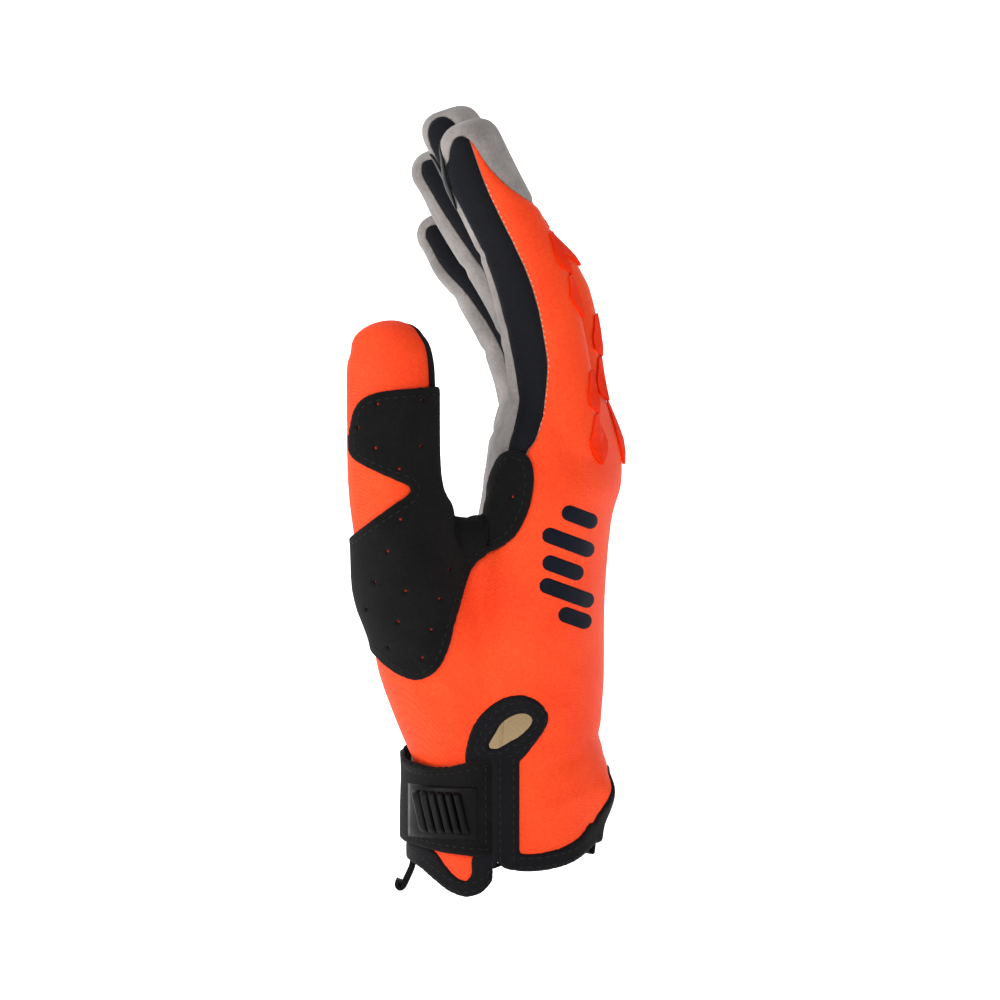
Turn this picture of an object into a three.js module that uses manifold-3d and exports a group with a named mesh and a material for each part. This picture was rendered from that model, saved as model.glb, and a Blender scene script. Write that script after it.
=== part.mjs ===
// A right-hand motocross glove, as worn: fingers up along +Z, palm towards -X, back of the hand
// towards +X and thumb side towards -Y. Millimetres. The origin is the centre of the wrist opening,
// at the height where the cuff's side lobes end.
//
// One body, four fingers and a thumb are lofted through short tables of sections and joined into a
// form. The same form, grown or shrunk a little, gives every wall its two faces, and outlines drawn
// in the side view cut the walls into the panels that the glove is sewn from.
import * as THREE from "three";
import { mergeVertices } from "three/addons/utils/BufferGeometryUtils.js";
import Module from "manifold-3d";

const wasm = await Module();
wasm.setup();

// Driving dimensions
const FABRIC = 1.6; // wall of the stretch fabric, suede and fourchettes
const GAP = 0.3; // clearance between pieces that are sewn or glued together
const GUARD = 1.1; // suede overlay across the thumb's web
const BINDING_PROUD = 0.8; // how far the edge binding stands out of the wall, on both faces
const STRAP = 1.6;
const STRAP_LIFT = 1.2; // the strap's inner face above the fabric
const BADGE_BASE = 0.7;
const BADGE_RIB = 1.0;
const KNUCKLE_RUBBER = 1.7;
const PRINT = 0.4; // silicone grip print on the two touch fingertips
const CROTCH_Z = 142; // where the fingers part
// Above the first of these heights each finger's walls are nodes of their own, and so are the cuff's
// below the second, so that every node bends little enough to collide closely.
const FINGER_CUT_Z = 144;
const CUFF_CUT_Z = 58;
const LIMB_SIDES = 10;
const BODY_SIDES = 24;
// Rings of a rounded fingertip: share of the dome's height, share of the section's size.
const DOME = [
  { rise: 0.5, size: 0.9 },
  { rise: 0.9, size: 0.5 },
];
const REACH = 80; // half size of a cutter that has to pass right through the glove

// The hand part, from below the hem to the crotch of the fingers: section centre, half sizes along
// X and Y, how square the section is, and how far the knuckle arch bends its sides to the palm.
const BODY = [
  { z: -14, x: -0.2, y: 0, halfX: 28.6, halfY: 35, square: 2.3, arch: 0 },
  { z: 8, x: -0.2, y: 0, halfX: 29, halfY: 35.3, square: 2.3, arch: 0 },
  { z: 25, x: 0.8, y: 0, halfX: 29.8, halfY: 35.6, square: 2.3, arch: 0 },
  { z: 41, x: 0.4, y: 0, halfX: 28, halfY: 36.2, square: 2.3, arch: 0 },
  { z: 58, x: 3, y: 0, halfX: 26.4, halfY: 39, square: 2.3, arch: 1 },
  { z: 82, x: 7.1, y: -0.6, halfX: 22.5, halfY: 43, square: 2.4, arch: 2.8 },
  { z: 105, x: 11.5, y: -1, halfX: 20, halfY: 45.8, square: 2.6, arch: 5 },
  { z: 116, x: 14, y: -1, halfX: 20.4, halfY: 46, square: 2.6, arch: 6 },
  { z: 129, x: 14.4, y: -1, halfX: 18.9, halfY: 45.6, square: 2.6, arch: 7 },
];
const ARCH_CENTRE_Y = -8;
const ARCH_SPAN = 38;
const PALM_ARCH = 0.45; // the palm side bends less than the back, by this share
// Above the last section the hand part closes in a shallow dome between the fingers' roots: how
// high each ring stands and how far it draws in from the section's edge.
const BODY_DOME = [
  { rise: 11, inset: 3 },
  { rise: 16.6, inset: 10.6 },
];

// Fingers and thumb: section centre, half thickness from palm to back, half width across.
// dome is how far the rounded end reaches past the last section. The web joins the thumb's root to
// the index finger's.
const LIMBS = {
  index: {
    dome: 8.2,
    rows: [
      { x: 13.2, y: -33.4, z: 116, half: 11, wide: 9 },
      { x: 14.3, y: -34.6, z: 130, half: 12.4, wide: 10.6 },
      { x: 12.9, y: -35.4, z: 147, half: 12.3, wide: 10.6 },
      { x: 8.1, y: -37.0, z: 171, half: 12.0, wide: 10.8 },
      { x: 2.4, y: -37.9, z: 186, half: 11.1, wide: 10.5 },
      { x: -4.9, y: -38.8, z: 201, half: 10.6, wide: 9.9 },
      { x: -9.9, y: -39.6, z: 214, half: 9.3, wide: 8.8 },
    ],
  },
  middle: {
    dome: 7.2,
    rows: [
      { x: 18.9, y: -11.4, z: 128.9, half: 11.8, wide: 10.8 },
      { x: 16.8, y: -11.8, z: 148, half: 11.6, wide: 10.8 },
      { x: 13.5, y: -12.1, z: 170.5, half: 12, wide: 10.9 },
      { x: 3.4, y: -12.4, z: 186.6, half: 10, wide: 10.6 },
      { x: -6.2, y: -12.6, z: 203, half: 9.6, wide: 10.1 },
      { x: -15.5, y: -12.9, z: 220.2, half: 9.2, wide: 9.2 },
    ],
  },
  ring: {
    dome: 7.4,
    rows: [
      { x: 15.1, y: 11.4, z: 129.1, half: 12.0, wide: 10.4 },
      { x: 13.0, y: 12.0, z: 147.9, half: 11.8, wide: 10.4 },
      { x: 8.3, y: 12.5, z: 165.4, half: 11.5, wide: 10.5 },
      { x: 1, y: 12.9, z: 179, half: 11, wide: 10.3 },
      { x: -9.2, y: 13.4, z: 195.4, half: 10.9, wide: 10.0 },
      { x: -19, y: 13.8, z: 210.2, half: 9.8, wide: 8.7 },
    ],
  },
  pinky: {
    dome: 6.8,
    rows: [
      { x: 10.5, y: 32.0, z: 129.4, half: 10.9, wide: 9.5 },
      { x: 6.8, y: 33.8, z: 148.4, half: 10.6, wide: 9.5 },
      { x: 0.9, y: 35.5, z: 163.4, half: 10.1, wide: 9.5 },
      { x: -6.8, y: 36.9, z: 176, half: 9.9, wide: 9.1 },
      { x: -13.6, y: 37.7, z: 184, half: 9.7, wide: 8.7 },
      { x: -18.8, y: 38.2, z: 192.2, half: 9, wide: 7.9 },
    ],
  },
  thumb: {
    dome: 6.2,
    rows: [
      { x: -4.8, y: -10, z: 31, half: 19.4, wide: 20 },
      { x: -12.2, y: -17, z: 49, half: 20.2, wide: 20.4 },
      { x: -20.3, y: -26, z: 67, half: 18.8, wide: 19 },
      { x: -27, y: -34, z: 84, half: 17, wide: 17 },
      { x: -30.1, y: -40, z: 100, half: 14.6, wide: 15 },
      { x: -33.2, y: -44, z: 117, half: 13.2, wide: 13.6 },
      { x: -33.7, y: -46.6, z: 149, half: 13, wide: 12 },
      { x: -34.7, y: -46.9, z: 157, half: 10.8, wide: 10 },
    ],
  },
  web: {
    dome: 6,
    rows: [
      { x: -15, y: -30, z: 72, half: 10, wide: 11 },
      { x: -12.6, y: -35.5, z: 100, half: 9.4, wide: 7 },
    ],
  },
};
const FINGERS = ["index", "middle", "ring", "pinky"];
const FINGER_EDGES = [-REACH, -23.7, 0.3, 23.3, REACH]; // the lines between the fingers, across the hand

// Where a fourchette meets the palm (low) and the back (high), as shares of the half thickness from
// the finger's centre line, against the height above the crotch as a share of the finger's length.
// The middle finger's black side is wider near its tip.
const OUTER_SEAM = [
  { at: -0.2, low: -0.88, high: -0.74 },
  { at: -0.08, low: -0.82, high: -0.4 },
  { at: 0.12, low: -0.75, high: 0 },
  { at: 0.6, low: -0.88, high: 0.1 },
  { at: 0.8, low: -0.9, high: 0.08 },
  { at: 0.92, low: -0.88, high: -0.1 },
  { at: 0.97, low: -0.5, high: -0.3 },
];
const INNER_SEAM = [
  { at: -0.2, low: -0.5, high: 0.45 },
  { at: 0.4, low: -0.6, high: 0.4 },
  { at: 0.8, low: -0.74, high: 0.3 },
  { at: 0.92, low: -0.72, high: 0.2 },
  { at: 0.97, low: -0.5, high: -0.1 },
];
const MIDDLE_SEAM = [
  { at: -0.2, low: -0.5, high: 0.45 },
  { at: 0.4, low: -0.6, high: 0.4 },
  { at: 0.7, low: -0.84, high: 0.4 },
  { at: 0.92, low: -0.86, high: 0.25 },
  { at: 0.97, low: -0.5, high: -0.1 },
];

// The suede cap over a fingertip: across in half thicknesses (back is +), down in mm from the tip.
// The index finger's comes lower at its side.
const CAP = [
  [-2, 6],
  [2, 6],
  [2, -31],
  [1, -30],
  [0.6, -25],
  [0.2, -19],
  [0.08, -12],
  [0, -7],
  [-0.2, -4],
  [-0.4, -2.2],
  [-0.9, -3],
  [-0.95, -9],
  [-2, -9],
];
const INDEX_CAP = [
  [-2, 6],
  [2, 6],
  [2, -31],
  [1, -30],
  [0.75, -27.5],
  [0.45, -23.5],
  [0.2, -19.5],
  [0, -15],
  [-0.2, -11.5],
  [-0.5, -6],
  [-0.75, -3],
  [-0.9, -9],
  [-2, -9],
];

// Outlines in the side view, x and z. Near is the thumb side of the glove.
const KEYHOLE_RING = [
  [-11.6, 33],
  [-10.6, 42.6],
  [-6.8, 48.8],
  [-1, 53],
  [5.3, 53.9],
  [10.4, 51.2],
  [12.4, 46.6],
  [9.4, 41],
  [4, 34.5],
  [-3, 31],
];
const KEYHOLE = [
  [-5.2, 38.8],
  [-3.2, 42.6],
  [-1, 46],
  [3.2, 48.3],
  [6.6, 48.1],
  [7.6, 45.8],
  [4.4, 42.2],
  [0.4, 39.8],
  [-2.6, 38.2],
];
const SLIT = [
  [-3.9, -30],
  [-3.9, 39.6],
  [-3.5, 39.6],
  [-3.5, -30],
];
const SLIT_BAND = [
  [-9.4, 1.5],
  [-9.4, 38],
  [3.9, 38],
  [3.9, 4.5],
];
// Lower edge of the cuff on the thumb side, from the palm round to the back, and the line where its
// binding ends.
const NEAR_HEM = [
  [-REACH, 4],
  [-28.6, 3.6],
  [-25, 2],
  [-20, -1.8],
  [-16, -4.4],
  [-11.5, -5.4],
  [-7, -4],
  [-4.4, -1],
  [-3.6, 2.6],
  [-2.6, 5],
  [-0.6, 3.2],
  [4, 2.2],
  [10, 2.2],
  [16.6, 3.3],
  [21.5, 5.3],
  [26.3, 9.2],
  [REACH, 14],
];
const NEAR_BAND = [
  [-REACH, 9.4],
  [-28.6, 9.2],
  [-22, 8.4],
  [-18, 3.8],
  [-15, 0.6],
  [-12, -0.7],
  [-10.2, 1.2],
  [-8.6, 7.4],
  [6.8, 7.3],
  [11.7, 7.8],
  [16.6, 9],
  [21.5, 11.7],
  [24.6, 15.5],
  [REACH, 20],
];
const FAR_HEM_Z = 3.6;
const FAR_BAND_Z = 9.2;
// The notch in the cuff over the back of the wrist, y and z.
const NOTCH = [
  [-18, -30],
  [-15, 8],
  [-10, 17],
  [-5, 23.6],
  [0, 26],
  [5, 23.6],
  [10, 17],
  [15, 8],
  [18, -30],
];
const NOTCH_BAND = [
  [-26, -30],
  [-20.8, 9],
  [-15, 20],
  [-8, 28.6],
  [0, 31.6],
  [8, 28.6],
  [15, 20],
  [20.8, 9],
  [26, -30],
];
const NOTCH_X = 10; // the notch is cut only behind this

// Seams of the suede palm: by the web on the thumb side, then x against z round the rest, and how
// far that reaches towards the thumb, y against z.
const PALM_WEB = [
  [-REACH, 90],
  [-12, 92],
  [-4, 98],
  [2, 104],
  [3.4, 112],
  [3.4, CROTCH_Z],
  [-REACH, CROTCH_Z],
];
const PALM_FACE = [
  [-REACH, -40],
  [-4, -40],
  [-2, 30],
  [0, 60],
  [3, 90],
  [5, 115],
  [4.5, CROTCH_Z],
  [-REACH, CROTCH_Z],
];
const PALM_REACH = [
  [REACH, -40],
  [-11, -40],
  [-11, 46],
  [-16, 60],
  [-21.5, 72],
  [-27, 84],
  [-30, 94],
  [-30, CROTCH_Z],
  [REACH, CROTCH_Z],
];

// The thumb is sewn on along this cut, which the web guard hides on the near side.
const THUMB_ZONE = [
  [-REACH, 86],
  [-46, 88],
  [-30, 92],
  [-15.4, 94],
  [-15.4, 168],
  [-REACH, 168],
];
// Where the back of the thumb meets its palm side, y and z.
const THUMB_SEAM = [
  [-33, 84],
  [-41, 100],
  [-44.6, 115],
  [-46, 131],
  [-46.4, 147],
  [-43, 158],
  [-37, 166],
];

// The perforated suede guard from the thumb over the web to the index finger's root.
const WEB_GUARD = [
  [-17, 143.4],
  [-26.7, 143.2],
  [-34.9, 142.4],
  [-40, 141],
  [-43.2, 138],
  [-44.6, 132.4],
  [-45.2, 126.7],
  [-43.6, 122.8],
  [-39, 120],
  [-32.9, 117.1],
  [-28.6, 115.2],
  [-27.9, 113.8],
  [-28.8, 112.2],
  [-34.9, 108],
  [-41.6, 102.9],
  [-46.4, 99],
  [-52, 94],
  [-50, 80],
  [-43, 71],
  [-37, 65],
  [-32.4, 61.1],
  [-26.1, 58.6],
  [-20.6, 61.2],
  [-17.2, 67],
  [-14.6, 77.4],
  [-12.2, 86],
  [-9.6, 91.8],
  [-5.9, 95],
  [-1.6, 97.1],
  [2.6, 100.4],
  [6.1, 106.8],
  [7.7, 113],
  [8, 118.8],
  [6.6, 123.4],
  [3, 125.6],
  [-1, 124.4],
  [-3.4, 120],
  [-5, 115],
  [-8.4, 109.6],
  [-12, 108.6],
  [-15.4, 112],
  [-16, 122],
  [-16, 134],
];
// How far round the guard reaches towards the palm: on the thumb, y and z, and past that in y.
const GUARD_REACH = [
  [-REACH, 40],
  [-19, 50],
  [-24, 62],
  [-31, 78],
  [-37, 92],
  [-41.5, 108],
  [-44, 120],
  [-45.5, 150],
  [-REACH, 150],
];
const LOBE_X = -14;
const LOBE_REACH = [
  [-REACH, 84],
  [-34, 84],
  [-34, 140],
  [-REACH, 140],
];

// The wrist strap, from the slit round the palm side.
const STRAP_NEAR = [
  [-3.3, 6.2],
  [-3.3, 36.6],
  [-10.8, 34.2],
  [-15.6, 33],
  [-21, 33.2],
  [-25.9, 34.7],
  [-31, 37.2],
  [-REACH, 37.2],
  [-REACH, 10.4],
  [-31, 9.8],
  [-23.9, 8.6],
  [-17.6, 7.4],
  [-9.8, 6.6],
];
const STRAP_FAR = [
  [-REACH, 10.4],
  [-REACH, 37.2],
  [-12, 37.2],
  [-12, 10.4],
];
const STRAP_END_Y = 18;
const BADGE = { low: 11.4, high: 27, start: -8, end: -26.5 };
const BADGE_RIBS = { count: 6, width: 1.9, slant: 2.6, margin: 1.6 };

// Moulded rubber plates on the back of each finger, as runs of heights from the top down.
const KNUCKLES = {
  index_upper: { finger: "index", heights: [189.4, 177, 164.4], half: 5.8 },
  index_lower: { finger: "index", heights: [149, 136.5, 121.6], half: 5.8 },
  middle_upper: { finger: "middle", heights: [200.6, 191.5, 180.6], half: 5.8 },
  middle_lower: { finger: "middle", heights: [166.6, 154, 140.5, 122], half: 5.8 },
  ring_upper: { finger: "ring", heights: [190, 178.5, 166.5], half: 5.6 },
  ring_lower: { finger: "ring", heights: [151, 138, 122], half: 5.6 },
  pinky_upper: { finger: "pinky", heights: [180.5, 171.5, 161.5], half: 5.2 },
  pinky_lower: { finger: "pinky", heights: [146, 135, 121.5], half: 5.2 },
};
const GRIP_PRINTS = { index: [216, 196], middle: [214, 204] }; // heights of the silicone print
const GRIP_HALF = 3.6;

// The finger loop of webbing at the palm side of the hem.
const PULL_TAB = { top: 3.2, low: -5.2, x: -29.4, tip: -31.6, half: 5, thick: 1.5 };

const COLOURS = {
  orange: { color: 0xff4a1a, roughness: 0.75 },
  grey_suede: { color: 0x8d8682, roughness: 0.95 },
  black_stretch: { color: 0x14151a, roughness: 0.85 },
  black_suede: { color: 0x1b1a19, roughness: 0.9 },
  black_binding: { color: 0x0e0f13, roughness: 0.7 },
  orange_rubber: { color: 0xff4210, roughness: 0.45 },
  black_rubber: { color: 0x17181a, roughness: 0.35 },
};

// A closed mesh through rings of points, with a fan over each end, its faces turned outwards.
function loft(rings) {
  const sides = rings[0].length;
  const points = rings.flat();
  const first = points.length;
  const centre = (ring) => ring.reduce((sum, p) => sum.add(p), new THREE.Vector3()).divideScalar(sides);
  points.push(centre(rings[0]), centre(rings[rings.length - 1]));
  const index = [];
  for (let side = 0; side < sides; side++) {
    const next = (side + 1) % sides;
    for (let k = 0; k + 1 < rings.length; k++) {
      const low = k * sides;
      const high = low + sides;
      index.push(low + side, low + next, high + next, low + side, high + next, high + side);
    }
    const top = (rings.length - 1) * sides;
    index.push(first, next, side, first + 1, top + side, top + next);
  }
  const [a, b, c] = [0, 1, 2].map(() => new THREE.Vector3());
  let volume = 0;
  for (let i = 0; i < index.length; i += 3) {
    a.copy(points[index[i]]);
    b.copy(points[index[i + 1]]);
    c.copy(points[index[i + 2]]);
    volume += a.dot(b.cross(c));
  }
  if (volume < 0) index.reverse();
  return new THREE.BufferGeometry().setFromPoints(points).setIndex(index);
}

function solidOf(geometry) {
  const plain = geometry.index ? geometry.toNonIndexed() : geometry;
  const bare = new THREE.BufferGeometry().setAttribute("position", plain.getAttribute("position"));
  const merged = mergeVertices(bare, 1e-4);
  return new wasm.Manifold(
    new wasm.Mesh({
      numProp: 3,
      vertProperties: merged.attributes.position.array,
      triVerts: new Uint32Array(merged.index.array),
    }),
  );
}

function geometryOf(solid) {
  const { numProp, numVert, vertProperties, triVerts } = solid.getMesh();
  const position = new Float32Array(numVert * 3);
  for (let i = 0; i < numVert; i++) {
    position.set(vertProperties.subarray(i * numProp, i * numProp + 3), i * 3);
  }
  const geometry = new THREE.BufferGeometry();
  geometry.setAttribute("position", new THREE.BufferAttribute(position, 3));
  geometry.setIndex(new THREE.BufferAttribute(new Uint32Array(triVerts), 1));
  return geometry;
}

const join = (solids) => solids.reduce((sum, s) => sum.add(s));

// The largest of a cut's separate bodies: what is left over beside it is offcut.
function mainBody(solid) {
  return solid.decompose().reduce((best, s) => (s.volume() > best.volume() ? s : best));
}

function bodyRing({ z, x, y, halfX, halfY, square, arch }, grow) {
  const ring = [];
  for (let side = 0; side < BODY_SIDES; side++) {
    const angle = (side / BODY_SIDES) * 2 * Math.PI;
    const soften = (v) => Math.sign(v) * Math.abs(v) ** (2 / square);
    const across = (halfY + grow) * soften(Math.sin(angle));
    const share = THREE.MathUtils.mapLinear(Math.cos(angle), -1, 1, PALM_ARCH, 1);
    const bend = arch * share * ((y + across - ARCH_CENTRE_Y) / ARCH_SPAN) ** 2;
    ring.push(new THREE.Vector3(x + (halfX + grow) * soften(Math.cos(angle)) - bend, y + across, z));
  }
  return ring;
}

// Centre, axis, back and side directions and half sizes of a limb at each of its rows.
function framesOf({ rows }) {
  return rows.map((row, k) => {
    const below = rows[Math.max(k - 1, 0)];
    const above = rows[Math.min(k + 1, rows.length - 1)];
    const axis = new THREE.Vector3(above.x - below.x, above.y - below.y, above.z - below.z).normalize();
    const back = new THREE.Vector3(1, 0, 0).addScaledVector(axis, -axis.x).normalize();
    const side = new THREE.Vector3().crossVectors(axis, back);
    return { ...row, centre: new THREE.Vector3(row.x, row.y, row.z), axis, back, side };
  });
}

function limbRing({ centre, back, side, half, wide }, grow, scale = 1) {
  const ring = [];
  for (let k = 0; k < LIMB_SIDES; k++) {
    const angle = (k / LIMB_SIDES) * 2 * Math.PI;
    ring.push(
      centre
        .clone()
        .addScaledVector(back, (half + grow) * scale * Math.cos(angle))
        .addScaledVector(side, (wide + grow) * scale * Math.sin(angle)),
    );
  }
  return ring;
}

function limbSolid(limb, grow) {
  const frames = framesOf(limb);
  const last = frames[frames.length - 1];
  const rings = frames.map((frame) => limbRing(frame, grow));
  const domed = (rise) => last.centre.clone().addScaledVector(last.axis, (limb.dome + grow) * rise);
  for (const { rise, size } of DOME) rings.push(limbRing({ ...last, centre: domed(rise) }, grow, size));
  return solidOf(loft(rings));
}

// The outside of the glove, grown by a distance. An inner face reaches lower, to open the wrist.
function form(grow) {
  const rings = BODY.map((row, k) => bodyRing({ ...row, z: row.z - (!k && grow < 0 ? 6 : 0) }, grow));
  const last = BODY[BODY.length - 1];
  for (const { rise, inset } of BODY_DOME) {
    rings.push(bodyRing({ ...last, z: last.z + rise + grow }, grow - inset));
  }
  const body = solidOf(loft(rings));
  return join([body, ...Object.values(LIMBS).map((limb) => limbSolid(limb, grow))]);
}

const shell = (outer, inner) => form(outer).subtract(form(inner));

const outlineOf = (points) => points.map(([u, v]) => new THREE.Vector2(u, v));

function smooth(points, steps) {
  const curve = new THREE.CatmullRomCurve3(
    points.map(([u, v]) => new THREE.Vector3(u, v, 0)),
    true,
    "centripetal",
  );
  return curve.getPoints(steps).slice(0, -1).map((p) => [p.x, p.y]);
}

// A closed outline moved outwards by a distance, or inwards if it is negative.
function offset(points, distance) {
  const outline = outlineOf(points);
  const turn = THREE.ShapeUtils.isClockWise(outline) ? 1 : -1;
  return outline.map((p, k) => {
    const before = outline[(k + outline.length - 1) % outline.length];
    const after = outline[(k + 1) % outline.length];
    const into = p.clone().sub(before).normalize();
    const out = after.clone().sub(p).normalize();
    const normal = new THREE.Vector2(-(into.y + out.y), into.x + out.x).normalize().multiplyScalar(turn);
    const stretch = Math.max(0.5, Math.abs(normal.x * -into.y + normal.y * into.x));
    return [p.x + (normal.x * distance) / stretch, p.y + (normal.y * distance) / stretch];
  });
}

// An outline in x and z, run along Y.
function alongY(points, low = -REACH, high = REACH) {
  const shape = new THREE.Shape(outlineOf(points));
  const geometry = new THREE.ExtrudeGeometry(shape, { depth: high - low, bevelEnabled: false });
  return solidOf(geometry.rotateX(Math.PI / 2).translate(0, high, 0));
}

// An outline in y and z, run along X.
function alongX(points, low = -REACH, high = REACH) {
  const shape = new THREE.Shape(outlineOf(points));
  const geometry = new THREE.ExtrudeGeometry(shape, { depth: high - low, bevelEnabled: false });
  const turn = new THREE.Matrix4().makeBasis(
    new THREE.Vector3(0, 1, 0),
    new THREE.Vector3(0, 0, 1),
    new THREE.Vector3(1, 0, 0),
  );
  return solidOf(geometry.applyMatrix4(turn).translate(low, 0, 0));
}

// An open edge line in x and z, closed well below, as the region under that edge.
const below = (line) => [...line, [REACH, -REACH], [-REACH, -REACH]];

function between(table, at, column) {
  const above = table.findIndex((row, k) => k && (row.at >= at || k === table.length - 1));
  const [a, b] = [table[above - 1], table[above]];
  return THREE.MathUtils.mapLinear(at, a.at, b.at, a[column], b[column]);
}

// The frame of a limb at a height, between its rows.
function frameAt(limb, z) {
  const frames = framesOf(limb);
  const above = frames.findIndex((f, k) => k && (f.z >= z || k === frames.length - 1));
  const [a, b] = [frames[above - 1], frames[above]];
  const share = (z - a.z) / (b.z - a.z);
  const mixed = { z, half: THREE.MathUtils.lerp(a.half, b.half, share) };
  for (const name of ["centre", "axis", "back", "side"]) mixed[name] = a[name].clone().lerp(b[name], share);
  return mixed;
}

const tipOf = (limb) => limb.rows[limb.rows.length - 1].z + limb.dome;

// A slab along a finger between two shares of its half thickness, over one half of its width.
function layer(finger, seam, shares, reach, grow) {
  const limb = LIMBS[finger];
  const length = tipOf(limb) - CROTCH_Z;
  const rings = seam.map(({ at }) => {
    const frame = frameAt(limb, CROTCH_Z + at * length);
    const [low, high] = shares(at).map((share) => share * frame.half);
    const corner = (thick, across) =>
      frame.centre.clone().addScaledVector(frame.back, thick).addScaledVector(frame.side, across);
    return [
      corner(low - grow, reach[0] - grow),
      corner(high + grow, reach[0] - grow),
      corner(high + grow, reach[1] + grow),
      corner(low - grow, reach[1] + grow),
    ];
  });
  return solidOf(loft(rings));
}

const SIDE_REACH = 12.2;
const LEFT = [-SIDE_REACH, 0.05]; // the half of a finger towards the thumb
const RIGHT = [-0.05, SIDE_REACH];
const MIDLINE = 0.2; // the two sides of a fingertip stop this far from its middle
const seamOf = {
  index: { left: OUTER_SEAM, right: INNER_SEAM },
  middle: { left: MIDDLE_SEAM, right: INNER_SEAM },
  ring: { left: INNER_SEAM, right: INNER_SEAM },
  pinky: { left: INNER_SEAM, right: OUTER_SEAM },
};

const aboveCrotch = alongX([
  [-REACH, CROTCH_Z - 3],
  [REACH, CROTCH_Z - 3],
  [REACH, 3 * REACH],
  [-REACH, 3 * REACH],
]);

// The black side of a finger, towards the thumb or away from it.
function side(finger, towards, grow) {
  const seam = seamOf[finger][towards];
  const shares = (at) => [between(seam, at, "low"), between(seam, at, "high")];
  const reach = towards === "left" ? [-SIDE_REACH, -MIDLINE] : [MIDLINE, SIDE_REACH];
  const cutter = layer(finger, seam, shares, reach, grow);
  return seam === OUTER_SEAM ? cutter : cutter.intersect(aboveCrotch);
}

// Cutters for the side panels: one on each outer side, and a V between each two fingers.
function sideCutters(grow) {
  return {
    side_panel_index: side("index", "left", grow),
    fourchette_index_middle: side("index", "right", grow).add(side("middle", "left", grow)),
    fourchette_middle_ring: side("middle", "right", grow).add(side("ring", "left", grow)),
    fourchette_ring_pinky: side("ring", "right", grow).add(side("pinky", "left", grow)),
    side_panel_pinky: side("pinky", "right", grow),
  };
}

// The suede that folds over a fingertip.
function capCutter(finger, grow) {
  const limb = LIMBS[finger];
  const tip = frameAt(limb, tipOf(limb) - 16);
  const top = frameAt(limb, limb.rows[limb.rows.length - 1].z);
  const apex = top.centre.clone().addScaledVector(top.axis, limb.dome);
  const outline = (finger === "index" ? INDEX_CAP : CAP).map(([across, along]) => {
    const p = apex
      .clone()
      .addScaledVector(tip.back, across * tip.half + 2)
      .addScaledVector(tip.axis, along);
    return [p.x, p.z];
  });
  return alongY(offset(outline, grow), top.centre.y - SIDE_REACH, top.centre.y + SIDE_REACH);
}

const capCutters = (grow) => join(FINGERS.map((finger) => capCutter(finger, grow)));

// The suede of the palm side of a finger.
function underside(finger, grow) {
  const halves = Object.entries(seamOf[finger]).map(([towards, seam]) => {
    const shares = (at) => [-1.8, between(seam, at, "low")];
    const half = layer(finger, seam, shares, towards === "left" ? LEFT : RIGHT, grow);
    return seam === OUTER_SEAM ? half : half.intersect(aboveCrotch);
  });
  return join(halves);
}

function palmCutter(grow) {
  return join([
    alongY(offset(PALM_WEB, grow), -REACH, -20),
    alongY(offset(PALM_FACE, grow)).intersect(alongX(offset(PALM_REACH, grow))),
    ...FINGERS.map((finger) => underside(finger, grow)),
    capCutters(grow),
  ]);
}

// The space of one finger above its cut, of the hand between the cuts, and of the cuff.
const fingerSpace = (i) =>
  alongX([
    [FINGER_EDGES[i], FINGER_CUT_Z + GAP],
    [FINGER_EDGES[i + 1], FINGER_CUT_Z + GAP],
    [FINGER_EDGES[i + 1], 3 * REACH],
    [FINGER_EDGES[i], 3 * REACH],
  ]);
const handSpace = alongX([
  [-REACH, CUFF_CUT_Z + GAP],
  [REACH, CUFF_CUT_Z + GAP],
  [REACH, FINGER_CUT_Z],
  [-REACH, FINGER_CUT_Z],
]);
const cuffSpace = alongX(
  below([
    [-REACH, CUFF_CUT_Z],
    [REACH, CUFF_CUT_Z],
  ]),
);

const belowHem = join([
  alongY(below(NEAR_HEM), -REACH, 0.1),
  alongY(
    below([
      [-REACH, FAR_HEM_Z],
      [REACH, FAR_HEM_Z],
    ]),
    0,
    REACH,
  ),
  alongX(NOTCH, NOTCH_X, REACH),
]);
const keyhole = alongY(smooth(KEYHOLE, 22), -REACH, 0);
const slit = alongY(SLIT, -REACH, 0);

// Everywhere that the edge binding covers, before the edges themselves are cut away.
function bindingZone(grow) {
  return join([
    alongY(below(NEAR_BAND.map(([x, z]) => [x, z + grow])), -REACH, 0.1),
    alongY(
      below([
        [-REACH, FAR_BAND_Z + grow],
        [REACH, FAR_BAND_Z + grow],
      ]),
      0,
      REACH,
    ),
    alongX(offset(NOTCH_BAND, grow), NOTCH_X, REACH),
    alongY(offset(SLIT_BAND, grow), -REACH, 0),
    alongY(offset(smooth(KEYHOLE_RING, 26), grow), -REACH, 0),
  ]);
}

// One plate run: arrow-shaped scales, each tucked under the one above.
function knuckleOutline({ finger, heights, half }) {
  const right = [];
  heights.slice(0, -1).forEach((top, k) => {
    const foot = heights[k + 1];
    const drop = top - foot;
    const last = k === heights.length - 2;
    right.push([half * 0.4, top], [half, foot + drop * 0.42], [half * (last ? 0.55 : 0.8), foot + drop * 0.1]);
  });
  const centreY = frameAt(LIMBS[finger], heights[0]).centre.y;
  const foot = [0, heights[heights.length - 1]];
  const head = [0, heights[0] - 2];
  const left = right.map(([y, z]) => [-y, z]).reverse();
  return [head, ...right, foot, ...left].map(([y, z]) => [y + centreY, z]);
}

// The wrist strap's outline, between two heights above the form.
const strapZone = alongY(STRAP_NEAR, -REACH, 0.1).add(alongY(STRAP_FAR, 0, STRAP_END_Y));

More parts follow.
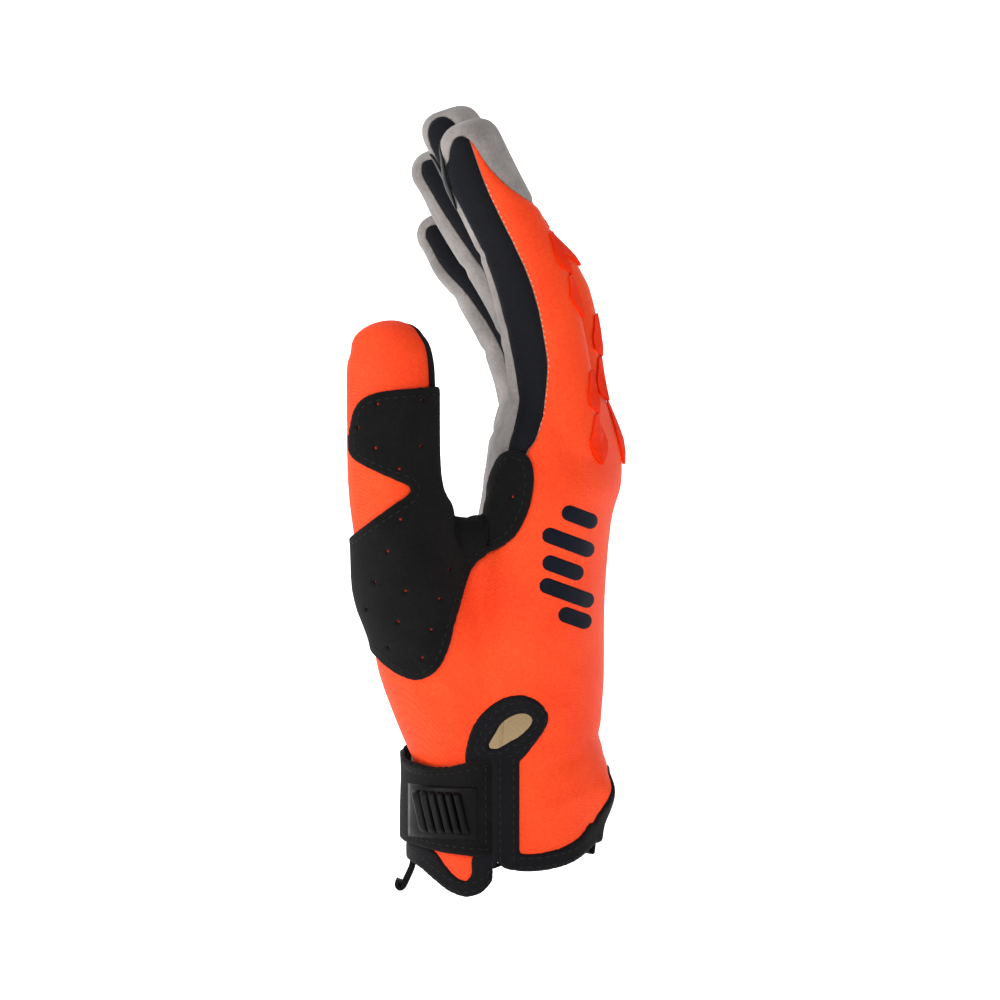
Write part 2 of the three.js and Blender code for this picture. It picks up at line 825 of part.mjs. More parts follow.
function badgeSolid() {
  const { low, high, start, end } = BADGE;
  const { count, width, slant, margin } = BADGE_RIBS;
  const floor = STRAP_LIFT + STRAP + GAP;
  const plate = alongY(
    [
      [start, low],
      [start, high],
      [end, high + 1],
      [end, low + 1],
    ],
    -REACH,
    0,
  ).intersect(shell(floor + BADGE_BASE, floor));
  const pitch = (start - end - 2 * margin - slant - width) / (count - 1);
  const rib = (k) => {
    const x = start - margin - width - k * pitch;
    return [
      [x, low + margin + 0.6],
      [x + width, low + margin + 0.6],
      [x + width - slant, high - margin],
      [x - slant, high - margin],
    ];
  };
  const ribs = Array.from({ length: count }, (_, k) => alongY(rib(k), -REACH, 0));
  return plate.add(join(ribs).intersect(shell(floor + BADGE_BASE + BADGE_RIB, floor + BADGE_BASE / 2)));
}

// A folded loop of webbing that hangs out from under the hem binding.
function pullTab() {
  const { top, low, x, tip, half, thick } = PULL_TAB;
  const outline = [
    [x, top],
    [x + thick, top],
    [tip + thick + 0.6, low + 1.2],
    [tip + thick, low],
    [tip - 0.4, low - 0.2],
    [tip - 0.8, low + 1.8],
    [tip + 0.4, low + 2],
  ];
  return alongY(outline, -half, half);
}

function build() {
  const pieces = {};
  const fabric = shell(0, -FABRIC).subtract(belowHem).subtract(bindingZone(GAP)).subtract(keyhole);
  const uncapped = fabric.subtract(capCutters(GAP));
  for (const [name, cutter] of Object.entries(sideCutters(0))) {
    pieces[name] = [uncapped.intersect(cutter), "black_stretch"];
  }

  const sidesGrown = join(Object.values(sideCutters(GAP))).subtract(capCutters(0));
  const thumbZone = alongY(THUMB_ZONE);
  const thumbZoneGrown = alongY(offset(THUMB_ZONE, GAP));
  const thumbBack = (grow) =>
    alongX([[-REACH, 84], ...THUMB_SEAM.map(([y, z]) => [y + grow, z]), [-REACH, 166]]);
  const body = fabric.subtract(sidesGrown).subtract(thumbZoneGrown);
  const walls = {
    palm: [body.intersect(palmCutter(0)), "grey_suede"],
    back: [body.subtract(palmCutter(GAP)), "orange"],
  };
  for (const [name, [wall, finish]] of Object.entries(walls)) {
    pieces[name] = [wall.intersect(handSpace), finish];
    pieces[name + "_cuff"] = [wall.intersect(cuffSpace), finish];
    FINGERS.forEach((finger, i) => {
      pieces[name + "_" + finger] = [wall.intersect(fingerSpace(i)), finish];
    });
  }
  const thumb = fabric.intersect(thumbZone);
  pieces.thumb_back = [thumb.intersect(thumbBack(0)), "orange"];
  pieces.thumb_palm = [thumb.subtract(thumbBack(GAP)), "black_suede"];

  const guardReach = alongX(GUARD_REACH).add(alongX(LOBE_REACH, LOBE_X, REACH));
  pieces.web_guard = [
    shell(GAP + GUARD, GAP).intersect(alongY(WEB_GUARD, -REACH, 0)).intersect(guardReach),
    "black_suede",
  ];
  pieces.cuff_binding = [
    shell(BINDING_PROUD, -FABRIC - BINDING_PROUD)
      .intersect(bindingZone(0))
      .subtract(belowHem)
      .subtract(keyhole)
      .subtract(slit),
    "black_binding",
  ];
  pieces.strap = [shell(STRAP_LIFT + STRAP, STRAP_LIFT).intersect(strapZone), "black_suede"];
  pieces.strap_badge = [badgeSolid(), "black_rubber"];
  pieces.pull_tab = [pullTab(), "black_binding"];

  for (const [name, run] of Object.entries(KNUCKLES)) {
    const inside = frameAt(LIMBS[run.finger], run.heights[0]).centre.x + 2;
    const plate = shell(GAP + KNUCKLE_RUBBER, GAP).intersect(alongX(knuckleOutline(run), inside, REACH));
    pieces["knuckle_" + name] = [plate, "orange_rubber"];
  }
  for (const [finger, [high, low]] of Object.entries(GRIP_PRINTS)) {
    const y = frameAt(LIMBS[finger], high).centre.y;
    const middle = frameAt(LIMBS[finger], (high + low) / 2).centre.x;
    const outline = [
      [y - GRIP_HALF, low],
      [y + GRIP_HALF, low],
      [y + GRIP_HALF, high],
      [y - GRIP_HALF, high],
    ];
    pieces["grip_print_" + finger] = [
      shell(GAP + PRINT, GAP).intersect(alongX(outline, -REACH, middle)),
      "black_rubber",
    ];
  }
  return pieces;
}

const glove = new THREE.Group();
for (const [name, [solid, finish]] of Object.entries(build())) {
  const mesh = new THREE.Mesh(
    geometryOf(mainBody(solid)),
    new THREE.MeshStandardMaterial({ ...COLOURS[finish], metalness: 0 }),
  );
  mesh.name = name;
  glove.add(mesh);
}

export default glove;
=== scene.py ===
"""A motocross glove held up as if a hand filled it: sewn panels, guard, binding, strap and plates.

The glove's smooth form is lofted from section tables and remeshed. Its panels are cut from that form
along their seams, and what is sewn or glued on is raised from it. Tables and outlines are in
millimetres in the glove's frame, and each mesh is turned into metres when it becomes an object.
"""

import math

import bmesh
import bpy
import numpy as np
from mathutils import Matrix, Vector
from mathutils.bvhtree import BVHTree
from mathutils.kdtree import KDTree


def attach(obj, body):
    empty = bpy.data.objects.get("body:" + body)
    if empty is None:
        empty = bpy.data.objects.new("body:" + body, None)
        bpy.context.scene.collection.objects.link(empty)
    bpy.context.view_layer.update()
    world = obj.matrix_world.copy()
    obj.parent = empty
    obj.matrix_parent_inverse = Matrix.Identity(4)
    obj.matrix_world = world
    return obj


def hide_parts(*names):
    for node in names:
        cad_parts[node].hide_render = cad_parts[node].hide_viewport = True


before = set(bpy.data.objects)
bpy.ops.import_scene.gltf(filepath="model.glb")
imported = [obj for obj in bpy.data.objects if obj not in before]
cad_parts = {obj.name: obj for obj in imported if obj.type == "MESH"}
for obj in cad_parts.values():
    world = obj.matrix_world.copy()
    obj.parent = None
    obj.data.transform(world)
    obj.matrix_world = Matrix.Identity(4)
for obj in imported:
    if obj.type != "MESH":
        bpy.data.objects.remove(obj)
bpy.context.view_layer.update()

MM = 0.001

# Walls and layers
FABRIC = 1.6
SEAM_GAP = 0.12  # how far each panel's edge draws back from the seam
SEAM_DEPTH = 0.75  # how deep the panels dip into a seam
SEAM_WIDTH = 1.5
GUARD = {"lift": 0.5, "height": 0.8, "roll": 1.1, "thick": 0.9}
BINDING = {"lift": -0.1, "height": 0.9, "roll": 1.5, "thick": 3.0}
STRAP = {"lift": 1.3, "height": 1.4, "roll": 1.2, "thick": 1.5}
VOXEL = 1.0

CROTCH_Z = 142
REACH = 80
SIDE_REACH = 12.2
CAP_REACH = 14
ROUNDING = 2.4  # how square the fingers' sections are, where a seam's thickness is turned into an angle
FINGERS = ("index", "middle", "ring", "pinky")

# The hand part's sections: z, x, y, half sizes along X and Y, squareness, knuckle arch
BODY = [
    (-14, -0.2, 0, 28.6, 35, 2.3, 0),
    (8, -0.2, 0, 29, 35.3, 2.3, 0),
    (25, 0.8, 0, 29.8, 35.6, 2.3, 0),
    (41, 0.4, 0, 28, 36.2, 2.3, 0),
    (58, 3, 0, 26.4, 39, 2.3, 1),
    (82, 7.1, -0.6, 22.5, 43, 2.4, 2.8),
    (105, 11.5, -1, 20, 45.8, 2.6, 5),
    (116, 14, -1, 20.4, 46, 2.6, 6),
    (129, 14.4, -1, 18.9, 45.6, 2.6, 7),
]
ARCH_CENTRE_Y = -8
ARCH_SPAN = 38
PALM_ARCH = 0.45
BODY_DOME = ((11, 3), (16.6, 10.6))  # rise above the last section, and inset from its edge

# A limb's sections: x, y, z of the centre, half thickness from palm to back, half width across
LIMBS = {
    "index": {
        "dome": 8.2,
        "rows": [
            (13.2, -33.4, 116, 11, 9),
            (14.3, -34.6, 130, 12.4, 10.6),
            (12.9, -35.4, 147, 12.3, 10.6),
            (8.1, -37, 171, 12, 10.8),
            (2.4, -37.9, 186, 11.1, 10.5),
            (-4.9, -38.8, 201, 10.6, 9.9),
            (-9.9, -39.6, 214, 9.3, 8.8),
        ],
    },
    "middle": {
        "dome": 7.2,
        "rows": [
            (18.9, -11.4, 128.9, 11.8, 10.8),
            (16.8, -11.8, 148, 11.6, 10.8),
            (13.5, -12.1, 170.5, 12, 10.9),
            (3.4, -12.4, 186.6, 10, 10.6),
            (-6.2, -12.6, 203, 9.6, 10.1),
            (-15.5, -12.9, 220.2, 9.2, 9.2),
        ],
    },
    "ring": {
        "dome": 7.4,
        "rows": [
            (15.1, 11.4, 129.1, 12, 10.4),
            (13, 12, 147.9, 11.8, 10.4),
            (8.3, 12.5, 165.4, 11.5, 10.5),
            (1, 12.9, 179, 11, 10.3),
            (-9.2, 13.4, 195.4, 10.9, 10),
            (-19, 13.8, 210.2, 9.8, 8.7),
        ],
    },
    "pinky": {
        "dome": 6.8,
        "rows": [
            (10.5, 32, 129.4, 10.9, 9.5),
            (6.8, 33.8, 148.4, 10.6, 9.5),
            (0.9, 35.5, 163.4, 10.1, 9.5),
            (-6.8, 36.9, 176, 9.9, 9.1),
            (-13.6, 37.7, 184, 9.7, 8.7),
            (-18.8, 38.2, 192.2, 9, 7.9),
        ],
    },
    "thumb": {
        "dome": 6.4,
        "fullness": 1.9,
        "rows": [
            (-4.8, -10, 31, 19.4, 20),
            (-12.2, -17, 49, 20.2, 20.4),
            (-20.3, -26, 67, 18.8, 19),
            (-27, -34, 84, 17, 17),
            (-30.1, -40, 100, 14.6, 15),
            (-33.2, -44, 117, 13.2, 13.6),
            (-33.7, -46.6, 149, 13, 12),
            (-34.7, -46.9, 157, 10.8, 10),
        ],
    },
    "web": {"dome": 6, "rows": [(-15, -30, 72, 10, 11), (-12.6, -35.5, 100, 9.4, 7)]},
}

# Where a fourchette meets the palm and the back, in half thicknesses from the finger's centre, by
# the share of the finger's length above the crotch: at, low, high
OUTER_SEAM = [
    (-0.26, -0.88, -0.66),
    (-0.18, -0.87, -0.5),
    (-0.08, -0.86, -0.3),
    (0.12, -0.89, 0),
    (0.3, -0.93, 0.03),
    (0.47, -0.95, 0),
    (0.6, -0.955, -0.03),
    (0.8, -0.98, -0.02),
    (0.93, -0.985, 0),
    (0.97, -0.97, 0),
]
INNER_SEAM = [
    (-0.2, -0.5, 0.45),
    (0.4, -0.6, 0.4),
    (0.8, -0.76, 0.3),
    (0.92, -0.76, 0.2),
    (0.95, -0.72, 0.05),
    (0.97, -0.6, -0.1),
]
MIDDLE_SEAM = [
    (-0.2, -0.5, 0.45),
    (0.4, -0.6, 0.4),
    (0.7, -0.94, 0.4),
    (0.9, -0.985, 0.25),
    (0.95, -0.985, 0.1),
    (0.97, -0.95, -0.1),
]
SEAMS = {
    "index": (OUTER_SEAM, INNER_SEAM),
    "middle": (MIDDLE_SEAM, INNER_SEAM),
    "ring": (INNER_SEAM, INNER_SEAM),
    "pinky": (INNER_SEAM, OUTER_SEAM),
}

# The suede cap over a fingertip: across in half thicknesses, along in mm from the tip. The index
# finger's comes lower at its side.
CAP = [
    (-2, 6), (2, 6), (2, -31), (1, -30), (0.6, -25), (0.2, -18), (0.06, -11), (-0.04, -5.5),
    (-0.22, -2.4), (-0.42, -1.1), (-0.7, -1.2), (-0.95, -2.8), (-1.1, -5), (-1.14, -9), (-2, -9),
]
INDEX_CAP = [
    (-2, 6), (2, 6), (2, -31), (1, -30), (0.75, -27.5), (0.45, -23.5), (0.2, -19), (0.02, -14.5),
    (-0.08, -9.5), (-0.2, -6), (-0.36, -3.8), (-0.52, -3.4), (-0.7, -4.6), (-0.9, -7),
    (-1.04, -10), (-2, -10),
]
MIDDLE_CAP = [
    (-2, 6), (2, 6), (2, -31), (1, -30), (0.6, -25), (0.2, -18), (0.06, -10), (-0.06, -4.5),
    (-0.22, -1.4), (-0.42, -0.4), (-0.7, -0.7), (-0.95, -2.4), (-1.1, -5), (-1.16, -9), (-2, -9),
]
CAPS = {"index": INDEX_CAP, "middle": MIDDLE_CAP}

# Outlines seen from the side, x and z, on the thumb side of the glove
KEYHOLE_RING = [
    (-11.6, 33), (-10.6, 42.6), (-6.8, 48.8), (-1, 53), (5.3, 53.9), (10.4, 51.2), (12.4, 46.6),
    (9.4, 41), (4, 34.5), (-3, 31),
]
KEYHOLE = [
    (-5.2, 38.8), (-3.2, 42.6), (-1, 46), (3.2, 48.3), (6.6, 48.1), (7.6, 45.8), (4.4, 42.2),
    (0.4, 39.8), (-2.6, 38.2),
]
SLIT = {"x": -3.7, "half": 0.25, "top": 39.2}
SLIT_BAND = [(-9.4, 1.5), (-9.4, 38), (3.9, 38), (3.9, 4.5)]
NEAR_HEM = [
    (-REACH, 4), (-28.6, 3.6), (-25, 2), (-20, -1.8), (-16, -4.4), (-11.5, -5.4), (-7, -4),
    (-4.4, -1), (-3.6, 2.6), (-2.6, 5), (-0.6, 3.2), (4, 2.2), (10, 2.2), (16.6, 3.3), (21.5, 5.3),
    (26.3, 9.2), (REACH, 14),
]
NEAR_BAND = [
    (-REACH, 9.4), (-28.6, 9.2), (-22, 8.4), (-18, 3.8), (-15, 0.6), (-12, -0.7), (-10.2, 1.2),
    (-8.6, 7.4), (6.8, 7.3), (11.7, 7.8), (16.6, 9), (21.5, 11.7), (24.6, 15.5), (REACH, 20),
]
FAR_HEM_Z = 3.6
FAR_BAND_Z = 9.2
# The notch over the back of the wrist, y and z
NOTCH = [(-18, -30), (-15.4, 8), (-12, 17), (-7, 24), (0, 26), (5, 23.6), (10, 17), (15, 8), (18, -30)]
NOTCH_BAND = [
    (-26, -30), (-22, 9), (-18.6, 20), (-12, 28.8), (0, 31.6), (8, 28.6), (15, 20), (20.8, 9),
    (26, -30),
]
NOTCH_X = 10

PALM_WEB = [(-REACH, 90), (-12, 92), (-4, 98), (2, 104), (3.4, 112), (3.4, CROTCH_Z), (-REACH, CROTCH_Z)]
PALM_FACE = [
    (-REACH, -40), (-4, -40), (-2, 30), (0, 60), (3, 90), (5, 115), (4.5, CROTCH_Z),
    (-REACH, CROTCH_Z),
]
# y and z
PALM_REACH = [
    (REACH, -40), (-11, -40), (-11, 46), (-16, 60), (-21.5, 72), (-27, 84), (-30, 94),
    (-30, CROTCH_Z), (REACH, CROTCH_Z),
]
THUMB_ZONE = [(-REACH, 86), (-46, 88), (-30, 92), (-15.4, 94), (-15.4, 168), (-REACH, 168)]
# y and z
THUMB_SEAM = [(-33, 84), (-41, 100), (-44.6, 115), (-46, 131), (-46.6, 147), (-46.4, 158), (-45.6, 166)]
THUMB_LEAN = 0.45
THUMB_MIDDLE_X = -32

WEB_GUARD = [
    (-17, 143.4), (-26.7, 143.2), (-34.9, 142.4), (-40, 141), (-43.2, 138), (-44.6, 132.4),
    (-45.2, 126.7), (-43.6, 122.8), (-39, 120), (-32.9, 117.1), (-28.6, 115.2), (-27.9, 113.8),
    (-28.8, 112.2), (-34.9, 108), (-41.6, 102.9), (-46.4, 99), (-52, 94), (-50, 80), (-43, 71),
    (-37, 65), (-32.4, 61.1), (-26.1, 58.6), (-20.6, 61.2), (-17.2, 67), (-14.6, 77.4),
    (-12.2, 86), (-9.6, 91.8), (-5.9, 95), (-1.6, 97.1), (2.6, 100.4), (6.1, 106.8), (7.7, 113),
    (8, 118.8), (6.6, 123.4), (3, 125.6), (-1, 124.4), (-3.4, 120), (-5, 115), (-8.4, 109.6),
    (-12, 108.6), (-15.4, 112), (-16, 122), (-16, 134),
]
# y and z
GUARD_REACH = [
    (-REACH, 40), (-19, 50), (-24, 62), (-31, 78), (-37, 92), (-41.5, 108), (-44, 120),
    (-45.5, 150), (-REACH, 150),
]
# The guard's reach towards the palm beside the index finger: from here it draws back to the thumb's
LOBE = {"x": -8, "y": -34, "slope": 0.62, "end": -26}

STRAP_NEAR = [
    (-3.3, 6.2), (-3.3, 36.6), (-10.8, 34.2), (-15.6, 33), (-21, 33.2), (-25.9, 34.7), (-31, 37.2),
    (-REACH, 37.2), (-REACH, 10.4), (-31, 9.8), (-23.9, 8.6), (-17.6, 7.4), (-9.8, 6.6),
]
STRAP_FAR_X = -12
STRAP_FAR_Z = (10.4, 37.2)
STRAP_END_Y = 18

# Small plates down the back of each finger, as runs of heights from the top down, and their half width
KNUCKLES = {
    "index_upper": ("index", (189.4, 177, 164.4), 5.8),
    "index_lower": ("index", (149, 136.5, 121.6), 5.8),
    "middle_upper": ("middle", (200.6, 191.5, 180.6), 5.8),
    "middle_lower": ("middle", (166.6, 154, 140.5, 122), 5.8),
    "ring_upper": ("ring", (190, 178.5, 166.5), 5.6),
    "ring_lower": ("ring", (151, 138, 122), 5.6),
    "pinky_upper": ("pinky", (180.5, 171.5, 161.5), 5.2),
    "pinky_lower": ("pinky", (146, 135, 121.5), 5.2),
}


# The form


def on_curve(four, t):
    """A point between the middle two of four, on a curve through all of them."""
    a, b, c, d = four
    return 0.5 * (2 * b + (c - a) * t + (2 * a - 5 * b + 4 * c - d) * t**2 + (3 * b - 3 * c + d - a) * t**3)


def between_rows(rows, steps):
    """A table's rows with steps rows for each gap, on a curve through them."""
    rows = np.array(rows, float)
    first, last = 2 * rows[0] - rows[1], 2 * rows[-1] - rows[-2]
    padded = np.vstack([first, rows, last])
    made = []
    for k in range(len(rows) - 1):
        for t in np.arange(steps) / steps:
            made.append(on_curve(padded[k : k + 4], t))
    return np.array([*made, rows[-1]])


class Limb:
    """A finger or the thumb: its centre line with the directions and half sizes along it.

    Its tip is a dome, round with a fullness of 2 and squarer with more.
    """

    def __init__(self, rows, dome, fullness=2.5):
        rows = between_rows(rows, 8)
        self.centre, self.half, self.wide = rows[:, :3], rows[:, 3], rows[:, 4]
        axis = np.gradient(self.centre, axis=0)
        self.axis = axis / np.linalg.norm(axis, axis=1)[:, None]
        back = np.array([1.0, 0, 0]) - self.axis * self.axis[:, :1]
        self.back = back / np.linalg.norm(back, axis=1)[:, None]
        self.side = np.cross(self.axis, self.back)
        self.dome, self.fullness = dome, fullness
        self.tip = self.centre[-1, 2] + dome

    def at(self, z):
        """Centre, back and side directions and half thickness at a height."""
        k = np.interp(z, self.centre[:, 2], np.arange(len(self.half)))
        low = int(min(k, len(self.half) - 2))
        share = k - low

        def mix(column):
            return column[low] * (1 - share) + column[low + 1] * share

        centre = mix(self.centre)
        over = max(z - self.centre[-1, 2], 0)
        centre = centre + self.axis[-1] * over
        back, side = Vector(mix(self.back)), Vector(mix(self.side))
        return Vector(centre), back, side, mix(self.half), mix(self.wide)

    def coordinates(self, points):
        """For each point: thickness and width in half sizes, width in mm, and height."""
        along = points @ self.axis.T - (self.centre * self.axis).sum(1)
        away = (points**2).sum(1)[:, None] - 2 * points @ self.centre.T + (self.centre**2).sum(1)
        k = np.argmin(np.abs(along) + 0.05 * np.sqrt(np.maximum(away, 0)), axis=1)
        offset = points - self.centre[k]
        over = along[np.arange(len(k)), k]
        thick = (offset * self.back[k]).sum(1) / self.half[k]
        across = (offset * self.side[k]).sum(1)
        height = self.centre[k, 2] + over * np.where(k == len(self.centre) - 1, 1, self.axis[k, 2])
        return thick, across / self.wide[k], across, height


limbs = {name: Limb(**limb) for name, limb in LIMBS.items()}


def once(items):
    """The items once each, in the order in which they come, so that each run gives the same mesh."""
    return list(dict.fromkeys(items))


def loft(bm, places, sides):
    """A closed tube through rings, each given as a function from an angle to a place."""
    loops = []
    for place in places:
        verts = bmesh.ops.create_circle(bm, segments=sides, radius=1)["verts"]
        for vert in verts:
            vert.co = place(math.atan2(vert.co.y, vert.co.x))
        loops.append(once(edge for vert in verts for edge in vert.link_edges))
    for low, high in zip(loops, loops[1:]):
        bmesh.ops.bridge_loops(bm, edges=low + high)
    for loop in (loops[0], loops[-1]):
        bmesh.ops.edgeloop_fill(bm, edges=loop)


def body_place(row, inset=0):
    z, x, y, half_x, half_y, square, arch = row

    def soften(value):
        return math.copysign(abs(value) ** (2 / square), value)

    def place(angle):
        across = (half_y - inset) * soften(math.sin(angle))
        share = PALM_ARCH + (1 - PALM_ARCH) * (1 + math.cos(angle)) / 2
        bend = arch * share * ((y + across - ARCH_CENTRE_Y) / ARCH_SPAN) ** 2
        return Vector((x + (half_x - inset) * soften(math.cos(angle)) - bend, y + across, z))

    return place


def limb_place(limb, k, size=1, rise=0):
    centre = Vector(limb.centre[k] + limb.axis[k] * rise)
    back, side = Vector(limb.back[k]) * limb.half[k] * size, Vector(limb.side[k]) * limb.wide[k] * size
    return lambda angle: centre + back * math.cos(angle) + side * math.sin(angle)


DOME_RISES = (0.3, 0.55, 0.75, 0.9, 0.98)


def glove_form():
    """The outside of the glove as closed overlapping tubes."""
    bm = bmesh.new()
    rows = between_rows(BODY, 3)
    places = [body_place(row) for row in rows]
    for rise, inset in BODY_DOME:
        places.append(body_place([rows[-1][0] + rise, *rows[-1][1:]], inset))
    loft(bm, places, 96)
    for limb in limbs.values():
        last = len(limb.half) - 1
        places = [limb_place(limb, k) for k in range(0, last + 1, 2)]
        for rise in DOME_RISES:
            size = (1 - rise**limb.fullness) ** (1 / limb.fullness)
            places.append(limb_place(limb, last, size, limb.dome * rise))
        loft(bm, places, 40)
    bmesh.ops.recalc_face_normals(bm, faces=bm.faces)
    return bm


def smoothed(bm, verts, times):
    for _ in range(times):
        bmesh.ops.smooth_vert(
            bm, verts=verts, factor=0.5, use_axis_x=True, use_axis_y=True, use_axis_z=True
        )


def as_shown(bm, **modifiers):
    """A bmesh passed through modifiers, each given as type=settings."""
    mesh = bpy.data.meshes.new("work")
    bm.to_mesh(mesh)
    bm.free()
    work = bpy.data.objects.new("work", mesh)
    bpy.context.collection.objects.link(work)
    for kind, settings in modifiers.items():
        modifier = work.modifiers.new(kind, kind)
        for name, value in settings.items():
            setattr(modifier, name, value)
    graph = bpy.context.evaluated_depsgraph_get()
    shown = work.evaluated_get(graph).to_mesh()
    made = bmesh.new()
    made.from_mesh(shown)
    bpy.data.objects.remove(work)
    bpy.data.meshes.remove(mesh)
    return made


skin = as_shown(
    glove_form(),
    REMESH={"mode": "VOXEL", "voxel_size": VOXEL},
    SMOOTH={"factor": 0.5, "iterations": 7},
)


def blended(bm, low, high, times):
    """Smooths the form inside a box, to run one part of the hand softly into the next."""
    verts = [v for v in bm.verts if all(a < c < b for a, c, b in zip(low, v.co, high))]
    smoothed(bm, verts, times)


def creased(bm, creases):
    """Dents and swells: each a line in the side view, or across the palm, with a width and a height."""
    bm.normal_update()
    places = np.array([vert.co for vert in bm.verts])
    normals = np.array([vert.normal for vert in bm.verts])
    for face, a, b, width, height in creases:
        plane = (0, 2) if face == "near" else (1, 2)
        toward = -normals[:, 1] if face == "near" else (normals[:, 0] if face == "back" else -normals[:, 0])
        start, along = np.array(a, float), np.array(b, float) - np.array(a, float)
        offset = places[:, plane] - start
        share = np.clip(offset @ along / (along @ along), 0, 1)
        away = np.linalg.norm(offset - share[:, None] * along, axis=1)
        taper = np.sin(np.pi * np.clip(share, 0.08, 0.92)) ** 0.5
        push = height * np.exp(-((away / width) ** 2)) * taper * np.clip(toward, 0, 1)
        places = places + normals * push[:, None]
    for vert, place in zip(bm.verts, places):
        vert.co = place


# Face, two ends of the crease, its width and its height; x and z on the near face, y and z on others
CREASES = [
    ("near", (-17, 104), (-13, 96), 2.2, -1.3),
    ("near", (-9, 103), (-2, 108), 1.8, -0.5),
    ("near", (-20, 60), (-12, 52), 1.6, 0.45),
    ("near", (-31, 62), (-24, 48), 1.8, 0.5),
    ("near", (-27, 66), (-19, 50), 1.4, -0.45),
    ("near", (8, 58), (22, 50), 2, -0.45),
    ("near", (10, 30), (24, 37), 2.2, -0.5),
    ("near", (8, 19), (24, 24), 2, 0.5),
    ("near", (14, 64), (24, 56), 1.8, 0.35),
    ("near", (-40, 152), (-28, 156), 1.6, -0.35),
    ("near", (-42, 118), (-36, 112), 1.6, -0.35),
    ("back", (-22, 40), (22, 42), 2.4, -0.7),
    ("back", (-24, 33), (20, 31), 2.2, 0.5),
    ("palm", (-42, 132), (-4, 136), 1.6, -0.8),
    ("palm", (-6, 134), (40, 130), 1.6, -0.8),
    ("palm", (-40, 128), (10, 118), 1.8, 0.6),
    ("palm", (-36, 112), (30, 100), 2, -0.8),
    ("palm", (-20, 96), (34, 84), 2, 0.5),
    ("palm", (-4, 50), (26, 48), 2, -0.7),
    ("palm", (-46, 160), (-26, 161), 1.3, -0.6),
    ("palm", (-46, 182), (-26, 183), 1.3, -0.6),
    ("palm", (-22, 164), (-2, 165), 1.3, -0.6),
    ("palm", (-22, 188), (-2, 189), 1.3, -0.6),
    ("palm", (3, 160), (23, 161), 1.3, -0.6),
    ("palm", (3, 180), (23, 181), 1.3, -0.6),
    ("palm", (27, 156), (46, 157), 1.3, -0.6),
    ("palm", (27, 172), (46, 173), 1.3, -0.6),
]
# Where the form swells or draws in: centre, reach and height
SWELLS = [
    ((31, -15, 24), 7, 3),
    ((28, -12, 10), 5, 1.6),
    ((33, -12, 128), 9, 0.9),
    ((-17, -38, 109), 4, 1.5),
    ((-11.8, -38, 105), 3.5, -1.3),
    ((-7, -40, 108), 4, 0.9),
    ((-40, -30, 72), 9, -1.6),
    ((-7, -38, 114), 8, 0.9),
    ((-1, -36, 142), 6, 0.7),
    ((-18, -38, 204), 7, 1.4),
    ((-23, -12.6, 224), 5, 1.2),
    ((-26, 13.8, 214), 5, 1.2),
    ((-28, 13.5, 203), 6, -0.7),
    ((-25, 38.2, 197), 5, 1.2),
    ((-24, 38, 187), 6, -0.9),
    ((-18, 37, 176), 7, -0.9),
]


def swollen(bm):
    bm.normal_update()
    for vert in bm.verts:
        for place, reach, height in SWELLS:
            away = (vert.co - Vector(place)).length
            if away < 3 * reach:
                vert.co += vert.normal * height * math.exp(-((away / reach) ** 2))


blended(skin, (-22, -60, 44), (8, -5, 98), 30)
creased(skin, CREASES)
swollen(skin)
skin.normal_update()


# Fields: signed distances in mm from an outline, positive inside


def inside(outline, u, v):
    """Signed distance of points from a closed outline."""
    a = np.array(outline, float)
    b = np.roll(a, -1, axis=0)
    point = np.stack([u, v], axis=1)[:, None, :]
    along = b - a
    share = np.clip(((point - a) * along).sum(2) / (along**2).sum(1), 0, 1)
    distance = np.sqrt((((point - a) - along * share[..., None]) ** 2).sum(2)).min(1)
    rise = np.where(along[:, 1] == 0, 1e-9, along[:, 1])
    level = (a[:, 1] <= v[:, None]) != (b[:, 1] <= v[:, None])
    left = u[:, None] < along[:, 0] * (v[:, None] - a[:, 1]) / rise + a[:, 0]
    return np.where((level & left).sum(1) % 2 == 1, distance, -distance)


def rounded(outline, steps=5):
    """A closed outline with curves through its points."""
    points = np.array(outline, float)
    count = len(points)
    looped = np.vstack([points[-1], points, points[:2]])
    made = []
    for k in range(count):
        for t in np.arange(steps) / steps:
            made.append(on_curve(looped[k : k + 4], t))
    return [tuple(p) for p in made]


def curved(line, steps=5):
    """An open line with curves through its points."""
    return [tuple(p) for p in between_rows(line, steps)]


def under(line):
    return [*line, (REACH, -REACH), (-REACH, -REACH)]


near_hem = [NEAR_HEM[0], *curved(NEAR_HEM[1:-1]), NEAR_HEM[-1]]
near_band = [NEAR_BAND[0], *curved(NEAR_BAND[1:-1]), NEAR_BAND[-1]]


def thumb_side(p):
    return 0.1 - p[:, 1]


def hem_field(p):
    x, y, z = p.T
    near = np.minimum(inside(under(near_hem), x, z), thumb_side(p))
    notch = np.minimum(inside(curved(NOTCH), y, z), x - NOTCH_X)
    return np.maximum.reduce([near, np.minimum(FAR_HEM_Z - z, y), notch])


def keyhole_field(p):
    return np.minimum(inside(rounded(KEYHOLE), p[:, 0], p[:, 2]), thumb_side(p))


def binding_field(p):
    x, y, z = p.T
    near = [inside(under(near_band), x, z), inside(SLIT_BAND, x, z), inside(rounded(KEYHOLE_RING), x, z)]
    near = np.minimum(np.maximum.reduce(near), thumb_side(p))
    notch = np.minimum(inside(curved(NOTCH_BAND), y, z), x - NOTCH_X)
    return np.maximum.reduce([near, np.minimum(FAR_BAND_Z - z, y), notch])


def slit_field(p):
    across = SLIT["half"] - np.abs(p[:, 0] - SLIT["x"])
    return np.minimum.reduce([across, SLIT["top"] - p[:, 2], thumb_side(p)])


def thumb_field(p):
    return inside(THUMB_ZONE, p[:, 0], p[:, 2])


